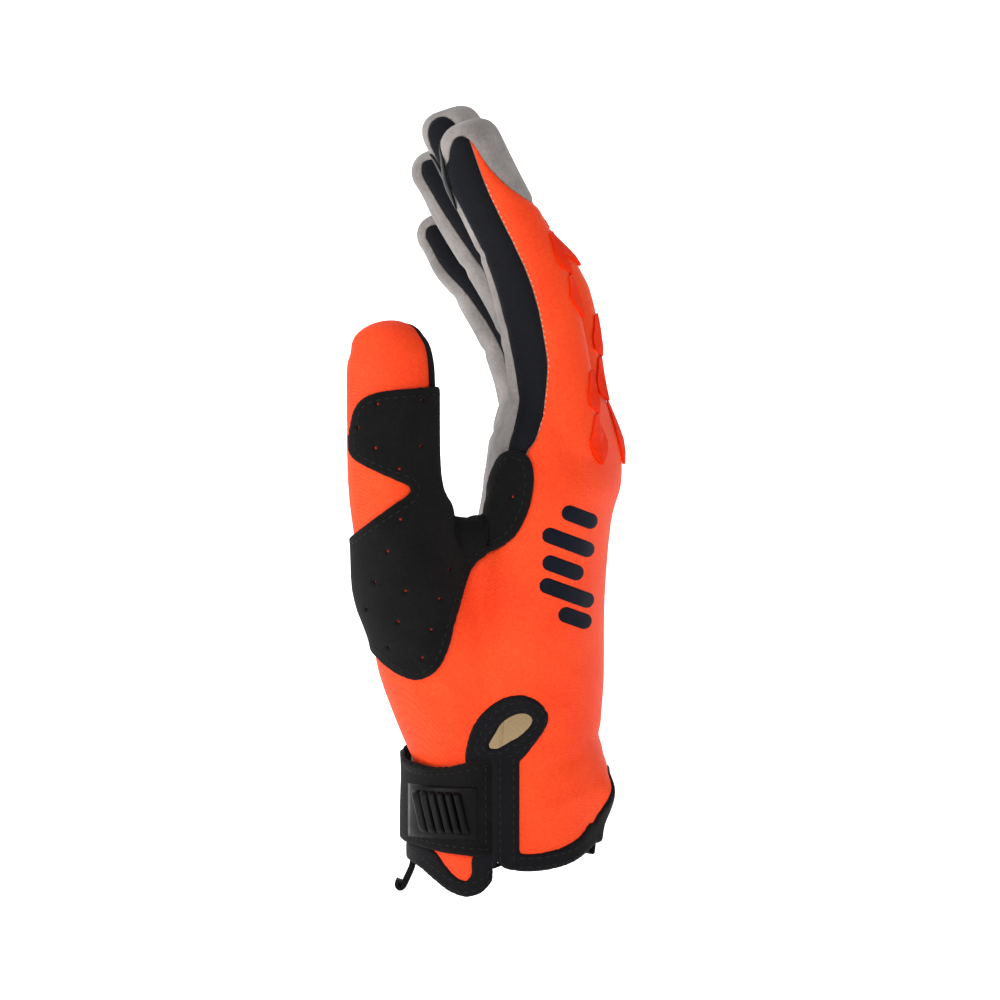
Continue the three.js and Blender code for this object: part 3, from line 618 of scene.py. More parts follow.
def thumb_back_field(p):
    """The seam leans towards the thumb side at the thumb's inner edge, so the palm side shows there."""
    outline = [(-REACH, 84), *curved(THUMB_SEAM), (-REACH, 166)]
    lean = THUMB_LEAN * np.maximum(p[:, 0] - THUMB_MIDDLE_X, 0)
    return inside(outline, p[:, 1] + lean, p[:, 2])


def finger_fields(p):
    """Each point's nearest finger, and its caps', sides' and undersides' fields."""
    rows = {name: limbs[name].coordinates(p) for name in FINGERS}
    nearest = np.argmin([np.hypot(rows[name][0], rows[name][1]) for name in FINGERS], axis=0)
    cap, side, low_side = (np.full(len(p), -50.0) for _ in range(3))
    for k, name in enumerate(FINGERS):
        limb = limbs[name]
        thick, _, across, height = rows[name]
        at = (height - CROTCH_Z) / (limb.tip - CROTCH_Z)
        half = np.interp(height, limb.centre[:, 2], limb.half)
        seams = [np.array(seam) for seam in SEAMS[name]]
        low, high = (
            np.where(
                across < 0,
                np.interp(at, seams[0][:, 0], seams[0][:, column]),
                np.interp(at, seams[1][:, 0], seams[1][:, column]),
            )
            for column in (1, 2)
        )
        turn = np.arctan2(thick, np.abs(rows[name][1]))
        low_turn = np.arctan2(low, (1 - np.abs(low) ** ROUNDING) ** (1 / ROUNDING))
        above_low = (turn - low_turn) * np.hypot(thick * half, across)
        outer = np.where(across < 0, name == "index", name == "pinky")
        low_end = (at - OUTER_SEAM[0][0]) * (limb.tip - CROTCH_Z)
        start = np.where(outer, low_end, height - CROTCH_Z + 3)
        here = nearest == k
        reach = SIDE_REACH - np.abs(across)
        sides = np.minimum.reduce([above_low, (high - thick) * half, start, reach])
        lows = np.minimum.reduce([-above_low, start, reach])
        side[here] = sides[here]
        low_side[here] = lows[here]
        caps = inside(cap_outline(limb, CAPS.get(name, CAP)), p[:, 0], p[:, 2])
        caps = np.minimum(caps, CAP_REACH - np.abs(across))
        cap[here] = caps[here]
    return nearest, cap, side, low_side


def cap_outline(limb, cap):
    _, back, _, half, _ = limb.at(limb.tip - 16)
    axis = Vector(limb.axis[-1])
    apex = Vector(limb.centre[-1]) + axis * limb.dome
    made = []
    for across, along in cap:
        place = apex + back * (across * half + 2) + Vector(limb.axis[-4]) * along
        made.append((place.x, place.z))
    return made


def palm_field(p):
    x, y, z = p.T
    web = np.minimum(inside(PALM_WEB, x, z), -20 - y)
    face = np.minimum(inside(PALM_FACE, x, z), inside(PALM_REACH, y, z))
    _, cap, _, low_side = finger_fields(p)
    return np.maximum.reduce([web, face, low_side, cap])


def cap_field(p):
    return finger_fields(p)[1]


def side_field(p):
    return finger_fields(p)[2]


def guard_field(p):
    x, y, z = p.T
    near = np.minimum(inside(rounded(WEB_GUARD, 3), x, z), thumb_side(p))
    lobe = LOBE["y"] - LOBE["slope"] * np.maximum(LOBE["x"] - x, 0) - y
    reach = np.maximum(inside(GUARD_REACH, y, z), np.minimum(lobe, x - LOBE["end"]))
    return np.minimum(near, reach)


def strap_field(p):
    x, y, z = p.T
    near = np.minimum(inside(STRAP_NEAR, x, z), thumb_side(p))
    low, high = STRAP_FAR_Z
    far = np.minimum.reduce([STRAP_FAR_X - x, z - low, high - z, STRAP_END_Y - y, y + 0.2])
    return np.maximum(near, far)


# Cutting a surface into regions

SNAP = 0.12  # a point this near a line is taken to be on it
SLIVER = 0.06  # shorter edges are closed up
SCRAP = 14  # a smaller island of a panel, in square mm, joins the panel round it
TURNED = 0.5  # a face whose normal agrees less than this with the surface has turned over


def split(face, value):
    """Parts a face between the points that lie on the line."""
    verts = list(face.verts)
    signs = [value[v] for v in verts]
    if not (min(signs) < 0 < max(signs)):
        return
    marks = [i for i, sign in enumerate(signs) if sign == 0]
    for i, j in zip(marks, marks[1:] + [marks[0] + len(verts)]):
        arc = [signs[m % len(verts)] for m in range(i + 1, j)]
        if arc and max(arc) < 0:
            made, _ = bmesh.utils.face_split(face, verts[i], verts[j % len(verts)])
            split(face, value)
            if made:
                split(made, value)
            return


def cut(bm, regions, field, made):
    """Cuts the faces of some regions along a field's zero line. What is inside becomes region made."""
    label = bm.faces.layers.int["region"]
    faces = [face for face in bm.faces if face[label] in regions]
    verts = once(vert for face in faces for vert in face.verts)
    values = field(np.array([vert.co for vert in verts]))
    values[np.abs(values) < SNAP] = 0
    value = dict(zip(verts, values))
    for edge in once(edge for face in faces for edge in face.edges):
        a, b = edge.verts
        if value[a] * value[b] < 0:
            share = value[a] / (value[a] - value[b])
            value[bmesh.utils.edge_split(edge, a, share)[1]] = 0
    for face in faces:
        split(face, value)
    for face in bm.faces:
        if face[label] in regions and sum(value.get(v, 0) for v in face.verts) > 0:
            face[label] = made


def region_of(bm, wanted):
    """A copy of a surface with only the faces of some regions."""
    part = bm.copy()
    label = part.faces.layers.int["region"]
    bmesh.ops.delete(part, geom=[f for f in part.faces if f[label] not in wanted], context="FACES")
    return part


def tree_of(verts):
    tree = KDTree(len(verts))
    for k, vert in enumerate(verts):
        tree.insert(vert.co, k)
    tree.balance()
    return tree


REGIONS = ("fabric", "gone", "thumb_back", "thumb_palm", "cap", "side", "palm", "back")
R = {name: k for k, name in enumerate(REGIONS)}
TUCK = 1.6  # how far the panels run on under the binding


def without(bm, field):
    """Cuts away what lies inside a field."""
    cut(bm, {R["fabric"]}, field, R["gone"])
    label = bm.faces.layers.int["region"]
    bmesh.ops.delete(bm, geom=[f for f in bm.faces if f[label] == R["gone"]], context="FACES")


skin.faces.layers.int.new("region")
panels = skin.copy()
without(panels, hem_field)
without(panels, keyhole_field)
without(panels, lambda p: binding_field(p) - TUCK)
label = panels.faces.layers.int["region"]
cut(panels, {R["fabric"]}, thumb_field, R["thumb_palm"])
cut(panels, {R["thumb_palm"]}, thumb_back_field, R["thumb_back"])
cut(panels, {R["fabric"]}, cap_field, R["cap"])
cut(panels, {R["fabric"]}, side_field, R["side"])
cut(panels, {R["fabric"]}, palm_field, R["palm"])
for face in panels.faces:
    if face[label] == R["cap"]:
        face[label] = R["palm"]
    elif face[label] == R["fabric"]:
        face[label] = R["back"]


def settle(bm, smallest):
    """Gives scraps under smallest, in square mm, to the panel round them."""
    label = bm.faces.layers.int["region"]
    left = set(bm.faces)
    for start in bm.faces:
        if start not in left:
            continue
        left.remove(start)
        part = [start]
        kind = start[label]
        around = {}
        for face in part:
            for edge in face.edges:
                for other in edge.link_faces:
                    if other[label] != kind:
                        around[other[label]] = around.get(other[label], 0) + edge.calc_length()
                    elif other in left:
                        left.remove(other)
                        part.append(other)
        if around and sum(face.calc_area() for face in part) < smallest:
            for face in part:
                face[label] = max(around, key=around.get)


def even_seams(bm, times):
    """Evens out the lines where the panels meet."""
    label = bm.faces.layers.int["region"]
    beside = {}
    for edge in bm.edges:
        if len({face[label] for face in edge.link_faces}) > 1:
            for vert in edge.verts:
                beside.setdefault(vert, []).append(edge.other_vert(vert))
    for _ in range(times):
        pairs = [(vert, ends) for vert, ends in beside.items() if len(ends) == 2]
        places = {vert: (2 * vert.co + ends[0].co + ends[1].co) / 4 for vert, ends in pairs}
        for vert, place in places.items():
            vert.co = place


def untangle(bm, tree):
    """Closes up the faces that don't face the way the surface does."""
    for _ in range(6):
        bm.normal_update()
        joins = {}
        used = set()
        for face in bm.faces:
            normal = tree.find_nearest(face.calc_center_median())[1]
            if face.normal.dot(normal) < TURNED:
                ends = min(face.edges, key=lambda edge: edge.calc_length()).verts
                if not used.intersection(ends):
                    used.update(ends)
                    joins[ends[0]] = ends[1]
        if not joins:
            return
        bmesh.ops.weld_verts(bm, targetmap=joins)


surface = BVHTree.FromBMesh(skin)
bmesh.ops.dissolve_degenerate(panels, dist=SLIVER, edges=panels.edges)
settle(panels, SCRAP)
even_seams(panels, 4)
bmesh.ops.dissolve_degenerate(panels, dist=SLIVER, edges=panels.edges)
untangle(panels, surface)


def dip_seams(bm):
    """Draws the panels' edges down into their seams."""
    label = bm.faces.layers.int["region"]
    seams = [
        vert
        for vert in bm.verts
        if len({face[label] for face in vert.link_faces}) > 1
    ]
    tree = tree_of(seams)
    bm.normal_update()
    for vert in bm.verts:
        distance = tree.find(vert.co)[2]
        if distance < 3 * SEAM_WIDTH:
            vert.co -= vert.normal * SEAM_DEPTH * math.exp(-((distance / SEAM_WIDTH) ** 2))


dip_seams(panels)


# Materials


class Look:
    """A material's or group's node tree, with one short call for each node."""

    def __init__(self, tree):
        self.tree = tree

    def add(self, kind, inputs=None, **settings):
        node = self.tree.nodes.new("ShaderNode" + kind)
        for name, value in settings.items():
            setattr(node, name, value)
        for name, value in (inputs or {}).items():
            socket = node.inputs[name]
            if isinstance(value, bpy.types.NodeSocket):
                self.tree.links.new(value, socket)
            else:
                socket.default_value = value
        return node

    def math(self, operation, a, b=0.0):
        return self.add("Math", {0: a, 1: b}, operation=operation).outputs[0]

    def blend(self, share, low, high):
        """A colour between two."""
        node = self.add("Mix", {"Factor": share, 6: low, 7: high}, data_type="RGBA")
        return node.outputs[2]

    def ramp(self, value, *stops):
        node = self.add("ValToRGB", {"Fac": value})
        elements = node.color_ramp.elements
        for element, (place, shade) in zip(elements, (stops[0], stops[-1])):
            element.position = place
            element.color = (shade, shade, shade, 1)
        for place, shade in stops[1:-1]:
            elements.new(place).color = (shade, shade, shade, 1)
        return node.outputs["Color"]


def group(name, inputs, outputs, build):
    """A node group. build takes its Look, the input node's outputs and returns the outputs' sockets."""
    tree = bpy.data.node_groups.new(name, "ShaderNodeTree")
    for title, value in inputs.items():
        socket = tree.interface.new_socket(title, in_out="INPUT", socket_type="NodeSocketFloat")
        socket.default_value = value
    for title in outputs:
        tree.interface.new_socket(title, in_out="OUTPUT", socket_type="NodeSocketFloat")
    look = Look(tree)
    source = tree.nodes.new("NodeGroupInput")
    sink = tree.nodes.new("NodeGroupOutput")
    for title, socket in build(look, source.outputs).items():
        tree.links.new(socket, sink.inputs[title])
    return tree


def weave_of(look, given):
    """Two sets of fine slanted ribs crossing, as yarn rows seen from any side."""
    place = look.add("TexCoord").outputs["Object"]
    warp = look.add("TexNoise", {"Vector": place, "Scale": 260.0, "Detail": 2.0}).outputs["Color"]
    bent = look.add("VectorMath", {0: warp, 1: (0.0005, 0.0005, 0.0005)}, operation="MULTIPLY").outputs[0]
    place = look.add("VectorMath", {0: place, 1: bent}, operation="ADD").outputs[0]
    turns = look.math("DIVIDE", 2 * math.pi, given["Pitch"])
    rows = []
    for direction in ((0.62, 0.45, 0.64), (-0.55, 0.5, 0.67)):
        along = look.add("VectorMath", {0: place, 1: direction}, operation="DOT_PRODUCT").outputs["Value"]
        wave = look.math("SINE", look.math("MULTIPLY", along, turns))
        rows.append(look.math("MULTIPLY_ADD", wave, 0.5))
        rows[-1].node.inputs[2].default_value = 0.5
    first = look.math("MULTIPLY", rows[0], 0.7)
    second = look.math("MULTIPLY", rows[1], 0.3)
    return {"Height": look.math("ADD", first, second)}


def nap_of(look, given):
    """Mottled short pile: brushed patches, and fine grain."""
    place = look.add("TexCoord").outputs["Object"]
    broad = look.add("TexNoise", {"Vector": place, "Scale": 90.0, "Detail": 5.0, "Roughness": 0.6})
    fine = look.add("TexNoise", {"Vector": place, "Scale": 1100.0, "Detail": 4.0, "Roughness": 0.75})
    return {
        "Patches": look.ramp(broad.outputs["Fac"], (0.35, 0.0), (0.65, 1.0)),
        "Grain": look.ramp(fine.outputs["Fac"], (0.3, 0.0), (0.7, 1.0)),
    }


def shade_of(look, given):
    """Broad uneven shading, as fabric has where it is worn, stretched or creased."""
    place = look.add("TexCoord").outputs["Object"]
    broad = look.add("TexNoise", {"Vector": place, "Scale": 32.0, "Detail": 3.0, "Roughness": 0.55})
    return {"Shade": look.ramp(broad.outputs["Fac"], (0.3, 0.0), (0.7, 1.0))}


WEAVE = group("slanted_weave", {"Pitch": 0.0009}, ["Height"], weave_of)
NAP = group("suede_nap", {}, ["Patches", "Grain"], nap_of)
SHADE = group("uneven_shade", {}, ["Shade"], shade_of)


def material(name, colour, build):
    """A material whose Principled shader gets what build returns for it."""
    made = bpy.data.materials.new(name)
    made.use_nodes = True
    made.diffuse_color = (*colour, 1)
    look = Look(made.node_tree)
    shader = made.node_tree.nodes["Principled BSDF"]
    for title, value in build(look).items():
        socket = shader.inputs[title]
        if isinstance(value, bpy.types.NodeSocket):
            made.node_tree.links.new(value, socket)
        else:
            socket.default_value = value
    return made


def bump(look, height, distance, strength=1.0):
    inputs = {"Height": height, "Distance": distance, "Strength": strength}
    return look.add("Bump", inputs).outputs["Normal"]


def rgb(red, green, blue):
    """A linear colour from sRGB values of 0 to 255."""
    values = [v / 255 for v in (red, green, blue)]
    return tuple(v / 12.92 if v <= 0.04045 else ((v + 0.055) / 1.055) ** 2.4 for v in values)


def knit(name, light, dark, pitch, sheen, roughness, depth, painted_glow=0.0):
    """Woven or knitted cloth: fine slanted rows, uneven shade, a little fuzz, and, where it is given, a
    painted glow in its own colour that lights it from within.
    """

    def build(look):
        rows = look.add("Group", {"Pitch": pitch}, node_tree=WEAVE).outputs["Height"]
        shade = look.add("Group", node_tree=SHADE).outputs["Shade"]
        grain = look.add("Group", node_tree=NAP).outputs["Grain"]
        tone = look.math("ADD", look.math("MULTIPLY", rows, 0.25), look.math("MULTIPLY", shade, 0.35))
        tone = look.math("ADD", tone, look.math("MULTIPLY", grain, 0.4))
        height = look.math("ADD", rows, look.math("MULTIPLY", grain, 0.35))
        return {
            "Base Color": look.blend(tone, (*dark, 1), (*light, 1)),
            "Roughness": roughness,
            "Sheen Weight": sheen,
            "Sheen Roughness": 0.5,
            "Sheen Tint": (*light, 1),
            "Specular IOR Level": 0.14,
            # Emission here is a painted glow, lightening the cloth as if lit from within.
            "Emission Color": (*light, 1),
            "Emission Strength": painted_glow,
            "Normal": bump(look, height, depth),
        }

    return material(name, light, build)


def suede(name, light, dark, roughness, sheen):
    """Synthetic suede: brushed patches and a fine short nap."""

    def build(look):
        nap = look.add("Group", node_tree=NAP).outputs
        shade = look.add("Group", node_tree=SHADE).outputs["Shade"]
        broad = look.math("MULTIPLY", nap["Patches"], 0.4)
        tone = look.math("ADD", broad, look.math("MULTIPLY", shade, 0.3))
        tone = look.math("ADD", tone, look.math("MULTIPLY", nap["Grain"], 0.3))
        height = look.math("ADD", nap["Grain"], look.math("MULTIPLY", nap["Patches"], 0.5))
        return {
            "Base Color": look.blend(tone, (*dark, 1), (*light, 1)),
            "Roughness": roughness,
            "Sheen Weight": sheen,
            "Sheen Roughness": 0.6,
            "Specular IOR Level": 0.1,
            "Normal": bump(look, height, 0.00012),
        }

    return material(name, light, build)


def rubber(name, light, dark, roughness, shine=0.12):
    """Moulded rubber: a fine spark-eroded grain, and duller patches from handling."""

    def build(look):
        nap = look.add("Group", node_tree=NAP).outputs
        shade = look.add("Group", node_tree=SHADE).outputs["Shade"]
        limits = {"To Min": roughness - 0.06, "To Max": roughness + 0.1}
        rough = look.add("MapRange", {"Value": nap["Patches"], **limits})
        return {
            "Base Color": look.blend(shade, (*dark, 1), (*light, 1)),
            "Roughness": rough.outputs[0],
            "Specular IOR Level": shine,
            "Normal": bump(look, nap["Grain"], 0.00002),
        }

    return material(name, light, build)


ORANGE = knit("orange_knit", rgb(252, 86, 38), rgb(226, 42, 10), 0.00062, 0.12, 0.62, 0.00008)
# The lining has a painted glow (0.22): it lightens the panels' inner walls and the lining sheet, so the
# inside seen through the keyhole reads pale.
LINING = knit("lining", rgb(206, 188, 156), rgb(172, 156, 126), 0.0012, 0.1, 0.9, 0.00006, 0.22)
BLACK_STRETCH = knit("black_stretch", rgb(22, 23, 28), rgb(9, 10, 14), 0.00062, 0.01, 0.85, 0.00005)
BLACK_BINDING = knit("black_binding", rgb(15, 16, 19), rgb(5, 5, 7), 0.0006, 0.01, 0.8, 0.00008)
GREY_SUEDE = suede("grey_suede", rgb(164, 158, 155), rgb(96, 90, 88), 0.95, 0.2)
BLACK_SUEDE = suede("black_suede", rgb(22, 21, 21), rgb(6, 6, 6), 0.92, 0.02)
ORANGE_RUBBER = rubber("orange_rubber", rgb(238, 50, 4), rgb(224, 36, 1), 0.65, 0.03)
BLACK_RUBBER = rubber("black_rubber", rgb(10, 10, 12), rgb(5, 5, 7), 0.42, 0.1)
GRIP_PRINT = rubber("grip_print", rgb(14, 15, 19), rgb(7, 7, 10), 0.4, 0.1)
NAVY_PRINT = rubber("navy_print", rgb(14, 18, 31), rgb(8, 11, 21), 0.6, 0.08)
LIGHT_THREAD = knit("light_thread", rgb(240, 206, 190), rgb(200, 150, 130), 0.0004, 0.1, 0.7, 0.00003)
BLACK_THREAD = knit("black_thread", rgb(34, 35, 39), rgb(14, 14, 17), 0.0004, 0.02, 0.6, 0.00003)


# Pieces


def piece(name, bm, materials, slot, nodes=(), solid=None, bevel=None):
    """A mesh in millimetres as an object in metres, riding with the glove."""
    bmesh.ops.scale(bm, vec=(MM, MM, MM), verts=bm.verts)
    mesh = bpy.data.meshes.new(name)
    bm.to_mesh(mesh)
    bm.free()
    for layer in list(mesh.attributes):
        if layer.name == "region":
            mesh.attributes.remove(layer)
    for entry in materials:
        mesh.materials.append(entry)
    mesh.shade_smooth()
    made = bpy.data.objects.new(name, mesh)
    bpy.context.collection.objects.link(made)
    if solid:
        wall = made.modifiers.new("wall", "SOLIDIFY")
        wall.thickness = solid * MM
        wall.offset = -1
        wall.use_even_offset = False
        wall.material_offset = len(materials) - 1
        wall.use_quality_normals = True
    if bevel:
        edge = made.modifiers.new("edge", "BEVEL")
        edge.width = bevel * MM
        edge.segments = 2
        edge.limit_method = "ANGLE"
        edge.angle_limit = math.radians(40)
    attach(made, "root")
    if nodes:
        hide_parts(*nodes)
    return made


def draw_back(bm, distance):
    """Moves a patch's edge in along its surface."""
    moves = {}
    for vert in bm.verts:
        if vert.is_boundary:
            inner = [e.other_vert(vert).co - vert.co for e in vert.link_edges if not e.is_boundary]
            if inner:
                way = sum(inner, Vector())
                reach = min(distance, 0.4 * min(edge.length for edge in inner))
                if way.length > 1e-6:
                    moves[vert] = way.normalized() * reach
    for vert, move in moves.items():
        vert.co += move


def raised(bm, lift, height, roll, extra=None):
    """Raises a patch along its normals, by lift at its edge and by lift and height past a rounded rim."""
    tree = tree_of([vert for vert in bm.verts if vert.is_boundary])
    bm.normal_update()
    places = []
    for vert in bm.verts:
        share = min(tree.find(vert.co)[2] / roll, 1)
        up = lift + height * math.sqrt(1 - (1 - share) ** 2)
        if extra:
            up += extra(vert.co)
        places.append(vert.co + vert.normal * up)
    for vert, place in zip(bm.verts, places):
        vert.co = place


def finer(bm, near=None):
    """Subdivides a patch once, or only round some places."""
    edges = bm.edges
    if near:
        tree, reach = near
        edges = once(e for f in bm.faces if tree.find(f.calc_center_median())[2] < reach for e in f.edges)
    bmesh.ops.subdivide_edges(bm, edges=list(edges), cuts=1, use_grid_fill=True)


def relaxed(bm, times):
    """Evens out a patch's inner points, with its edge as it is."""
    smoothed(bm, [vert for vert in bm.verts if not vert.is_boundary], times)


def panel(name, bm, material_of, slot, nodes):
    draw_back(bm, SEAM_GAP)
    untangle(bm, surface)
    piece(name, bm, [material_of, LINING], slot, nodes, solid=FABRIC)


def islands(bm):
    """The separate parts of a mesh, each as a list of faces, largest first."""
    left, found = set(bm.faces), []
    for start in bm.faces:
        if start not in left:
            continue
        left.remove(start)
        part, queue = [start], [start]
        while queue:
            for edge in queue.pop().edges:
                for face in edge.link_faces:
                    if face in left:
                        left.remove(face)
                        part.append(face)
                        queue.append(face)
        found.append(part)
    return sorted(found, key=len, reverse=True)


def tidy_crumbs(bm):
    """Leaves only the largest separate part."""
    doomed = [face for part in islands(bm)[1:] for face in part]
    bmesh.ops.delete(bm, geom=doomed, context="FACES")


for name, material_of, slot, parts in (
    ("back", ORANGE, "orange_knit", ("cuff", *FINGERS)),
    ("palm", GREY_SUEDE, "grey_suede", ("cuff", *FINGERS)),
    ("thumb_back", ORANGE, "orange_knit", ()),
    ("thumb_palm", BLACK_SUEDE, "black_suede", ()),
):
    walls = [name, *(f"{name}_{part}" for part in parts)]
    panel(name, region_of(panels, {R[name]}), material_of, slot, walls)

sides = region_of(panels, {R["side"]})
side_names = {
    "side_panel_index": lambda y: y < -36,
    "fourchette_index_middle": lambda y: -36 <= y < -12,
    "fourchette_middle_ring": lambda y: -12 <= y < 12,
    "fourchette_ring_pinky": lambda y: 12 <= y < 36,
    "side_panel_pinky": lambda y: y >= 36,
}
parts = {name: [] for name in side_names}
for part in islands(sides):
    middle = sum(face.calc_center_median().y for face in part) / len(part)
    name = next(n for n, test in side_names.items() if test(middle))
    parts[name].append({face.index for face in part})
for name, found in parts.items():
    wanted = set().union(*found)
    bm = sides.copy()
    bm.faces.ensure_lookup_table()
    bmesh.ops.delete(bm, geom=[f for f in bm.faces if f.index not in wanted], context="FACES")
    panel(name, bm, BLACK_STRETCH, "black_stretch", [name])


def joined(parts):
    """Several meshes as one."""
    whole = bmesh.new()
    for part in parts:
        mesh = bpy.data.meshes.new("work")
        part.to_mesh(mesh)
        part.free()
        whole.from_mesh(mesh)
        bpy.data.meshes.remove(mesh)
    return whole


# Binding: two rounded strips, either side of the slit
def binding_extra(p):
    """The strip beside the slit stands a little higher, over the end of the strap."""
    if p.y > 0 or p.z > 38 or p.x < SLIT["x"]:
        return 0
    return 0.9 * math.exp(-(((p.x - SLIT["x"]) / 5) ** 2)) * min(max((37 - p.z) / 4, 0), 1)


binding = skin.copy()
without(binding, lambda p: -binding_field(p))
without(binding, hem_field)
without(binding, keyhole_field)
tidy_crumbs(binding)
finer(binding)
without(binding, slit_field)
relaxed(binding, 2)
raised(binding, BINDING["lift"], BINDING["height"], BINDING["roll"], binding_extra)
piece("cuff_binding", binding, [BLACK_BINDING], "black_binding", ["cuff_binding"], solid=BINDING["thick"])

# A thin lining behind every seam, from the hem up
lining = skin.copy()
without(lining, lambda p: binding_field(p) - TUCK)
without(lining, hem_field)
without(lining, keyhole_field)
tidy_crumbs(lining)
raised(lining, -FABRIC - 0.25, 0, 1)
# The lining sheet carries the lining's painted glow.
piece("lining", lining, [LINING], "grey_suede", solid=0.2)


def overlay(name, field, sizes, material_of, slot, nodes, extra=None, holes=None, levels=1):
    """A layer laid on the glove: the surface inside a field, raised from it."""
    part = skin.copy()
    points = np.array([face.calc_center_median() for face in part.faces])
    far = field(points) < -4
    bmesh.ops.delete(part, geom=[f for f, out in zip(part.faces, far) if out], context="FACES")
    without(part, lambda p: -field(p))
    tidy_crumbs(part)
    for _ in range(levels):
        finer(part)
    relaxed(part, 2)
    if holes:
        places, radius = holes
        tree = KDTree(len(places))
        for k, place in enumerate(places):
            tree.insert(place, k)
        tree.balance()
        for _ in range(2):
            finer(part, (tree, 3 * radius))
        label = part.faces.layers.int["region"]
        for face in part.faces:
            face[label] = 0
        cut(part, {0}, lambda p: np.array([radius - tree.find(q)[2] for q in p]), 1)
        bmesh.ops.delete(part, geom=[f for f in part.faces if f[label] == 1], context="FACES")
    raised(part, sizes["lift"], sizes["height"], sizes["roll"], extra)
    return piece(name, part, [material_of], slot, nodes, solid=sizes["thick"])


def on_near_side(x, z, lift=0.0):
    """The surface point and its normal under a place in the side view."""
    hit, normal, _, _ = surface.ray_cast(Vector((x, -200, z)), Vector((0, 1, 0)))
    if hit is None or hit.y > 5:
        return None
    return hit + normal * lift, normal


# Perforations of the guard, x and z
PERFORATIONS = [
    (-36.9, 138.7), (-24.8, 139.9), (-42.3, 132), (-37.5, 126), (-25.1, 126.6), (-30.9, 120),
    (-30.6, 105.5), (-34.1, 96.3), (-37.6, 87.4), (-29.1, 84.8), (-17.1, 91), (-19.7, 82.4),
    (-39.9, 79.5), (-31.1, 75.9), (-21.9, 73.5), (-33.7, 68.5), (-24.3, 65.3), (2.1, 111.9),
]
holes = [p[0] for p in (on_near_side(x, z) for x, z in PERFORATIONS) if p]
overlay("web_guard", guard_field, GUARD, BLACK_SUEDE, "black_suede", ["web_guard"], holes=(holes, 0.4))
overlay(
    "guard_backing",
    lambda p: guard_field(p) - 1.2,
    {"lift": 0.15, "height": 0.05, "roll": 1, "thick": 0.1},
    ORANGE,
    "orange_knit",
    [],
    levels=0,
)


def strap_extra(p):
    """The strap sinks to the fabric at the slit, and its palm side stands off at the top."""
    sink = -1.9 * math.exp(-(((p.x + 3.3) / 4.5) ** 2)) if p.y < 0 else 0
    stand = 1.3 * math.exp(-(((p.x + 30) / 7) ** 2)) * max(0, (p.z - 26) / 11) ** 2 if p.y < 0 else 0
    return sink + stand


overlay("strap", strap_field, STRAP, BLACK_SUEDE, "black_suede", ["strap"], extra=strap_extra)

bpy.context.view_layer.update()


# Small moulded and printed parts


def closed_sheet(bm, columns, rows, place):
    """A closed slab from a grid. place gives a base and a top for two shares from -1 to 1."""
    base = bm.verts.layers.float_vector.get("base") or bm.verts.layers.float_vector.new("base")
    made = bmesh.ops.create_grid(bm, x_segments=columns, y_segments=rows, size=1)["verts"]
    for vert in made:
        low, high = place(vert.co.x, vert.co.y)
        vert[base] = low
        vert.co = high
    faces = once(face for vert in made for face in vert.link_faces)
    grown = bmesh.ops.extrude_face_region(bm, geom=faces)["geom"]
    for item in grown:
        if isinstance(item, bmesh.types.BMVert):
            item.co = item[base]


def small_part(name, bm, *settings, **more):
    bmesh.ops.recalc_face_normals(bm, faces=bm.faces)
    return piece(name, bm, *settings, **more)


def on_finger_back(limb, z, across):
    """The surface of a finger's back at a height, some mm to the side of its centre line."""
    centre = limb.at(z)[0]
    hit, normal, _, _ = surface.ray_cast(Vector((centre.x + 2, centre.y + across, z)), Vector((1, 0, 0)))
    return hit, normal


PLATE = {"base": 0.1, "rim": 0.9, "head": 1.1, "foot": 1.5, "spread": 1.1}


def scale_place(limb, top, foot, half, last):
    """One kite-shaped scale, a wedge that rises to its foot, with a ridge down its middle."""
    drop = top - foot

    def place(c, s):
        share = (1 - s) / 2
        widths = (0.6, 1, 0.5 if last else 0.9)
        width = half * PLATE["spread"] * float(np.interp(share, (0, 0.7, 1), widths))
        point = (1 - abs(c)) * drop * float(np.interp(share, (0, 1), (-0.06, 0.16)))
        z = top - 0.06 * drop - share * drop * 0.8 - point
        hit, normal = on_finger_back(limb, z, c * width)
        ridge = float(np.interp(share, (0, 0.95, 1), (PLATE["head"], PLATE["foot"], PLATE["foot"] - 0.4)))
        up = PLATE["rim"] * (0.6 + 0.4 * share) + (ridge - PLATE["rim"]) * (1 - abs(c))
        return hit + normal * PLATE["base"], hit + normal * max(up, 0.4)

    return place


for name, (finger, heights, half) in KNUCKLES.items():
    bm = bmesh.new()
    for k, (top, foot) in enumerate(zip(heights, heights[1:])):
        closed_sheet(bm, 2, 5, scale_place(limbs[finger], top, foot, half, k == len(heights) - 2))
    title = "knuckle_" + name
    made = small_part(title, bm, [ORANGE_RUBBER], "orange_rubber", [title], bevel=0.12)
    made.data.shade_flat()


# Generic printed bars on the back of the hand: middle x and z, half length, half height
PRINT_BARS = [
    (21.5, 106, 5.6, 2.3),
    (18.2, 98.6, 8.2, 2.3),
    (16.6, 91.2, 6.4, 2.3),
    (17.8, 83.8, 8.6, 2.3),
    (20.2, 76.4, 5.2, 2.3),
]


def bar_place(x, z, half_length, half_height):
    lean = 0.5

    def place(a, b):
        edge = max(abs(a) * half_length - (half_length - half_height), 0) / half_height
        up = b * half_height * math.sqrt(max(1 - edge**2, 0.002))
        along = a * half_length
        hit, normal = on_near_side(x + along * 0.93 + up * 0.36, z + up * 0.93 - along * lean * 0.7)
        return hit + normal * -0.1, hit + normal * 0.09

    return place


bm = bmesh.new()
for bar in PRINT_BARS:
    closed_sheet(bm, 40, 8, bar_place(*bar))
small_part("printed_marks", bm, [NAVY_PRINT], "black_rubber")

# Strap badge: a plate with slanted ribs, on the strap's outer face
BADGE = {"low": 11.4, "high": 27, "start": -8, "end": -26.5}
BADGE_RIBS = {"count": 6, "width": 1.9, "slant": 2.6, "margin": 1.6}
BADGE_LIFT = 2.75


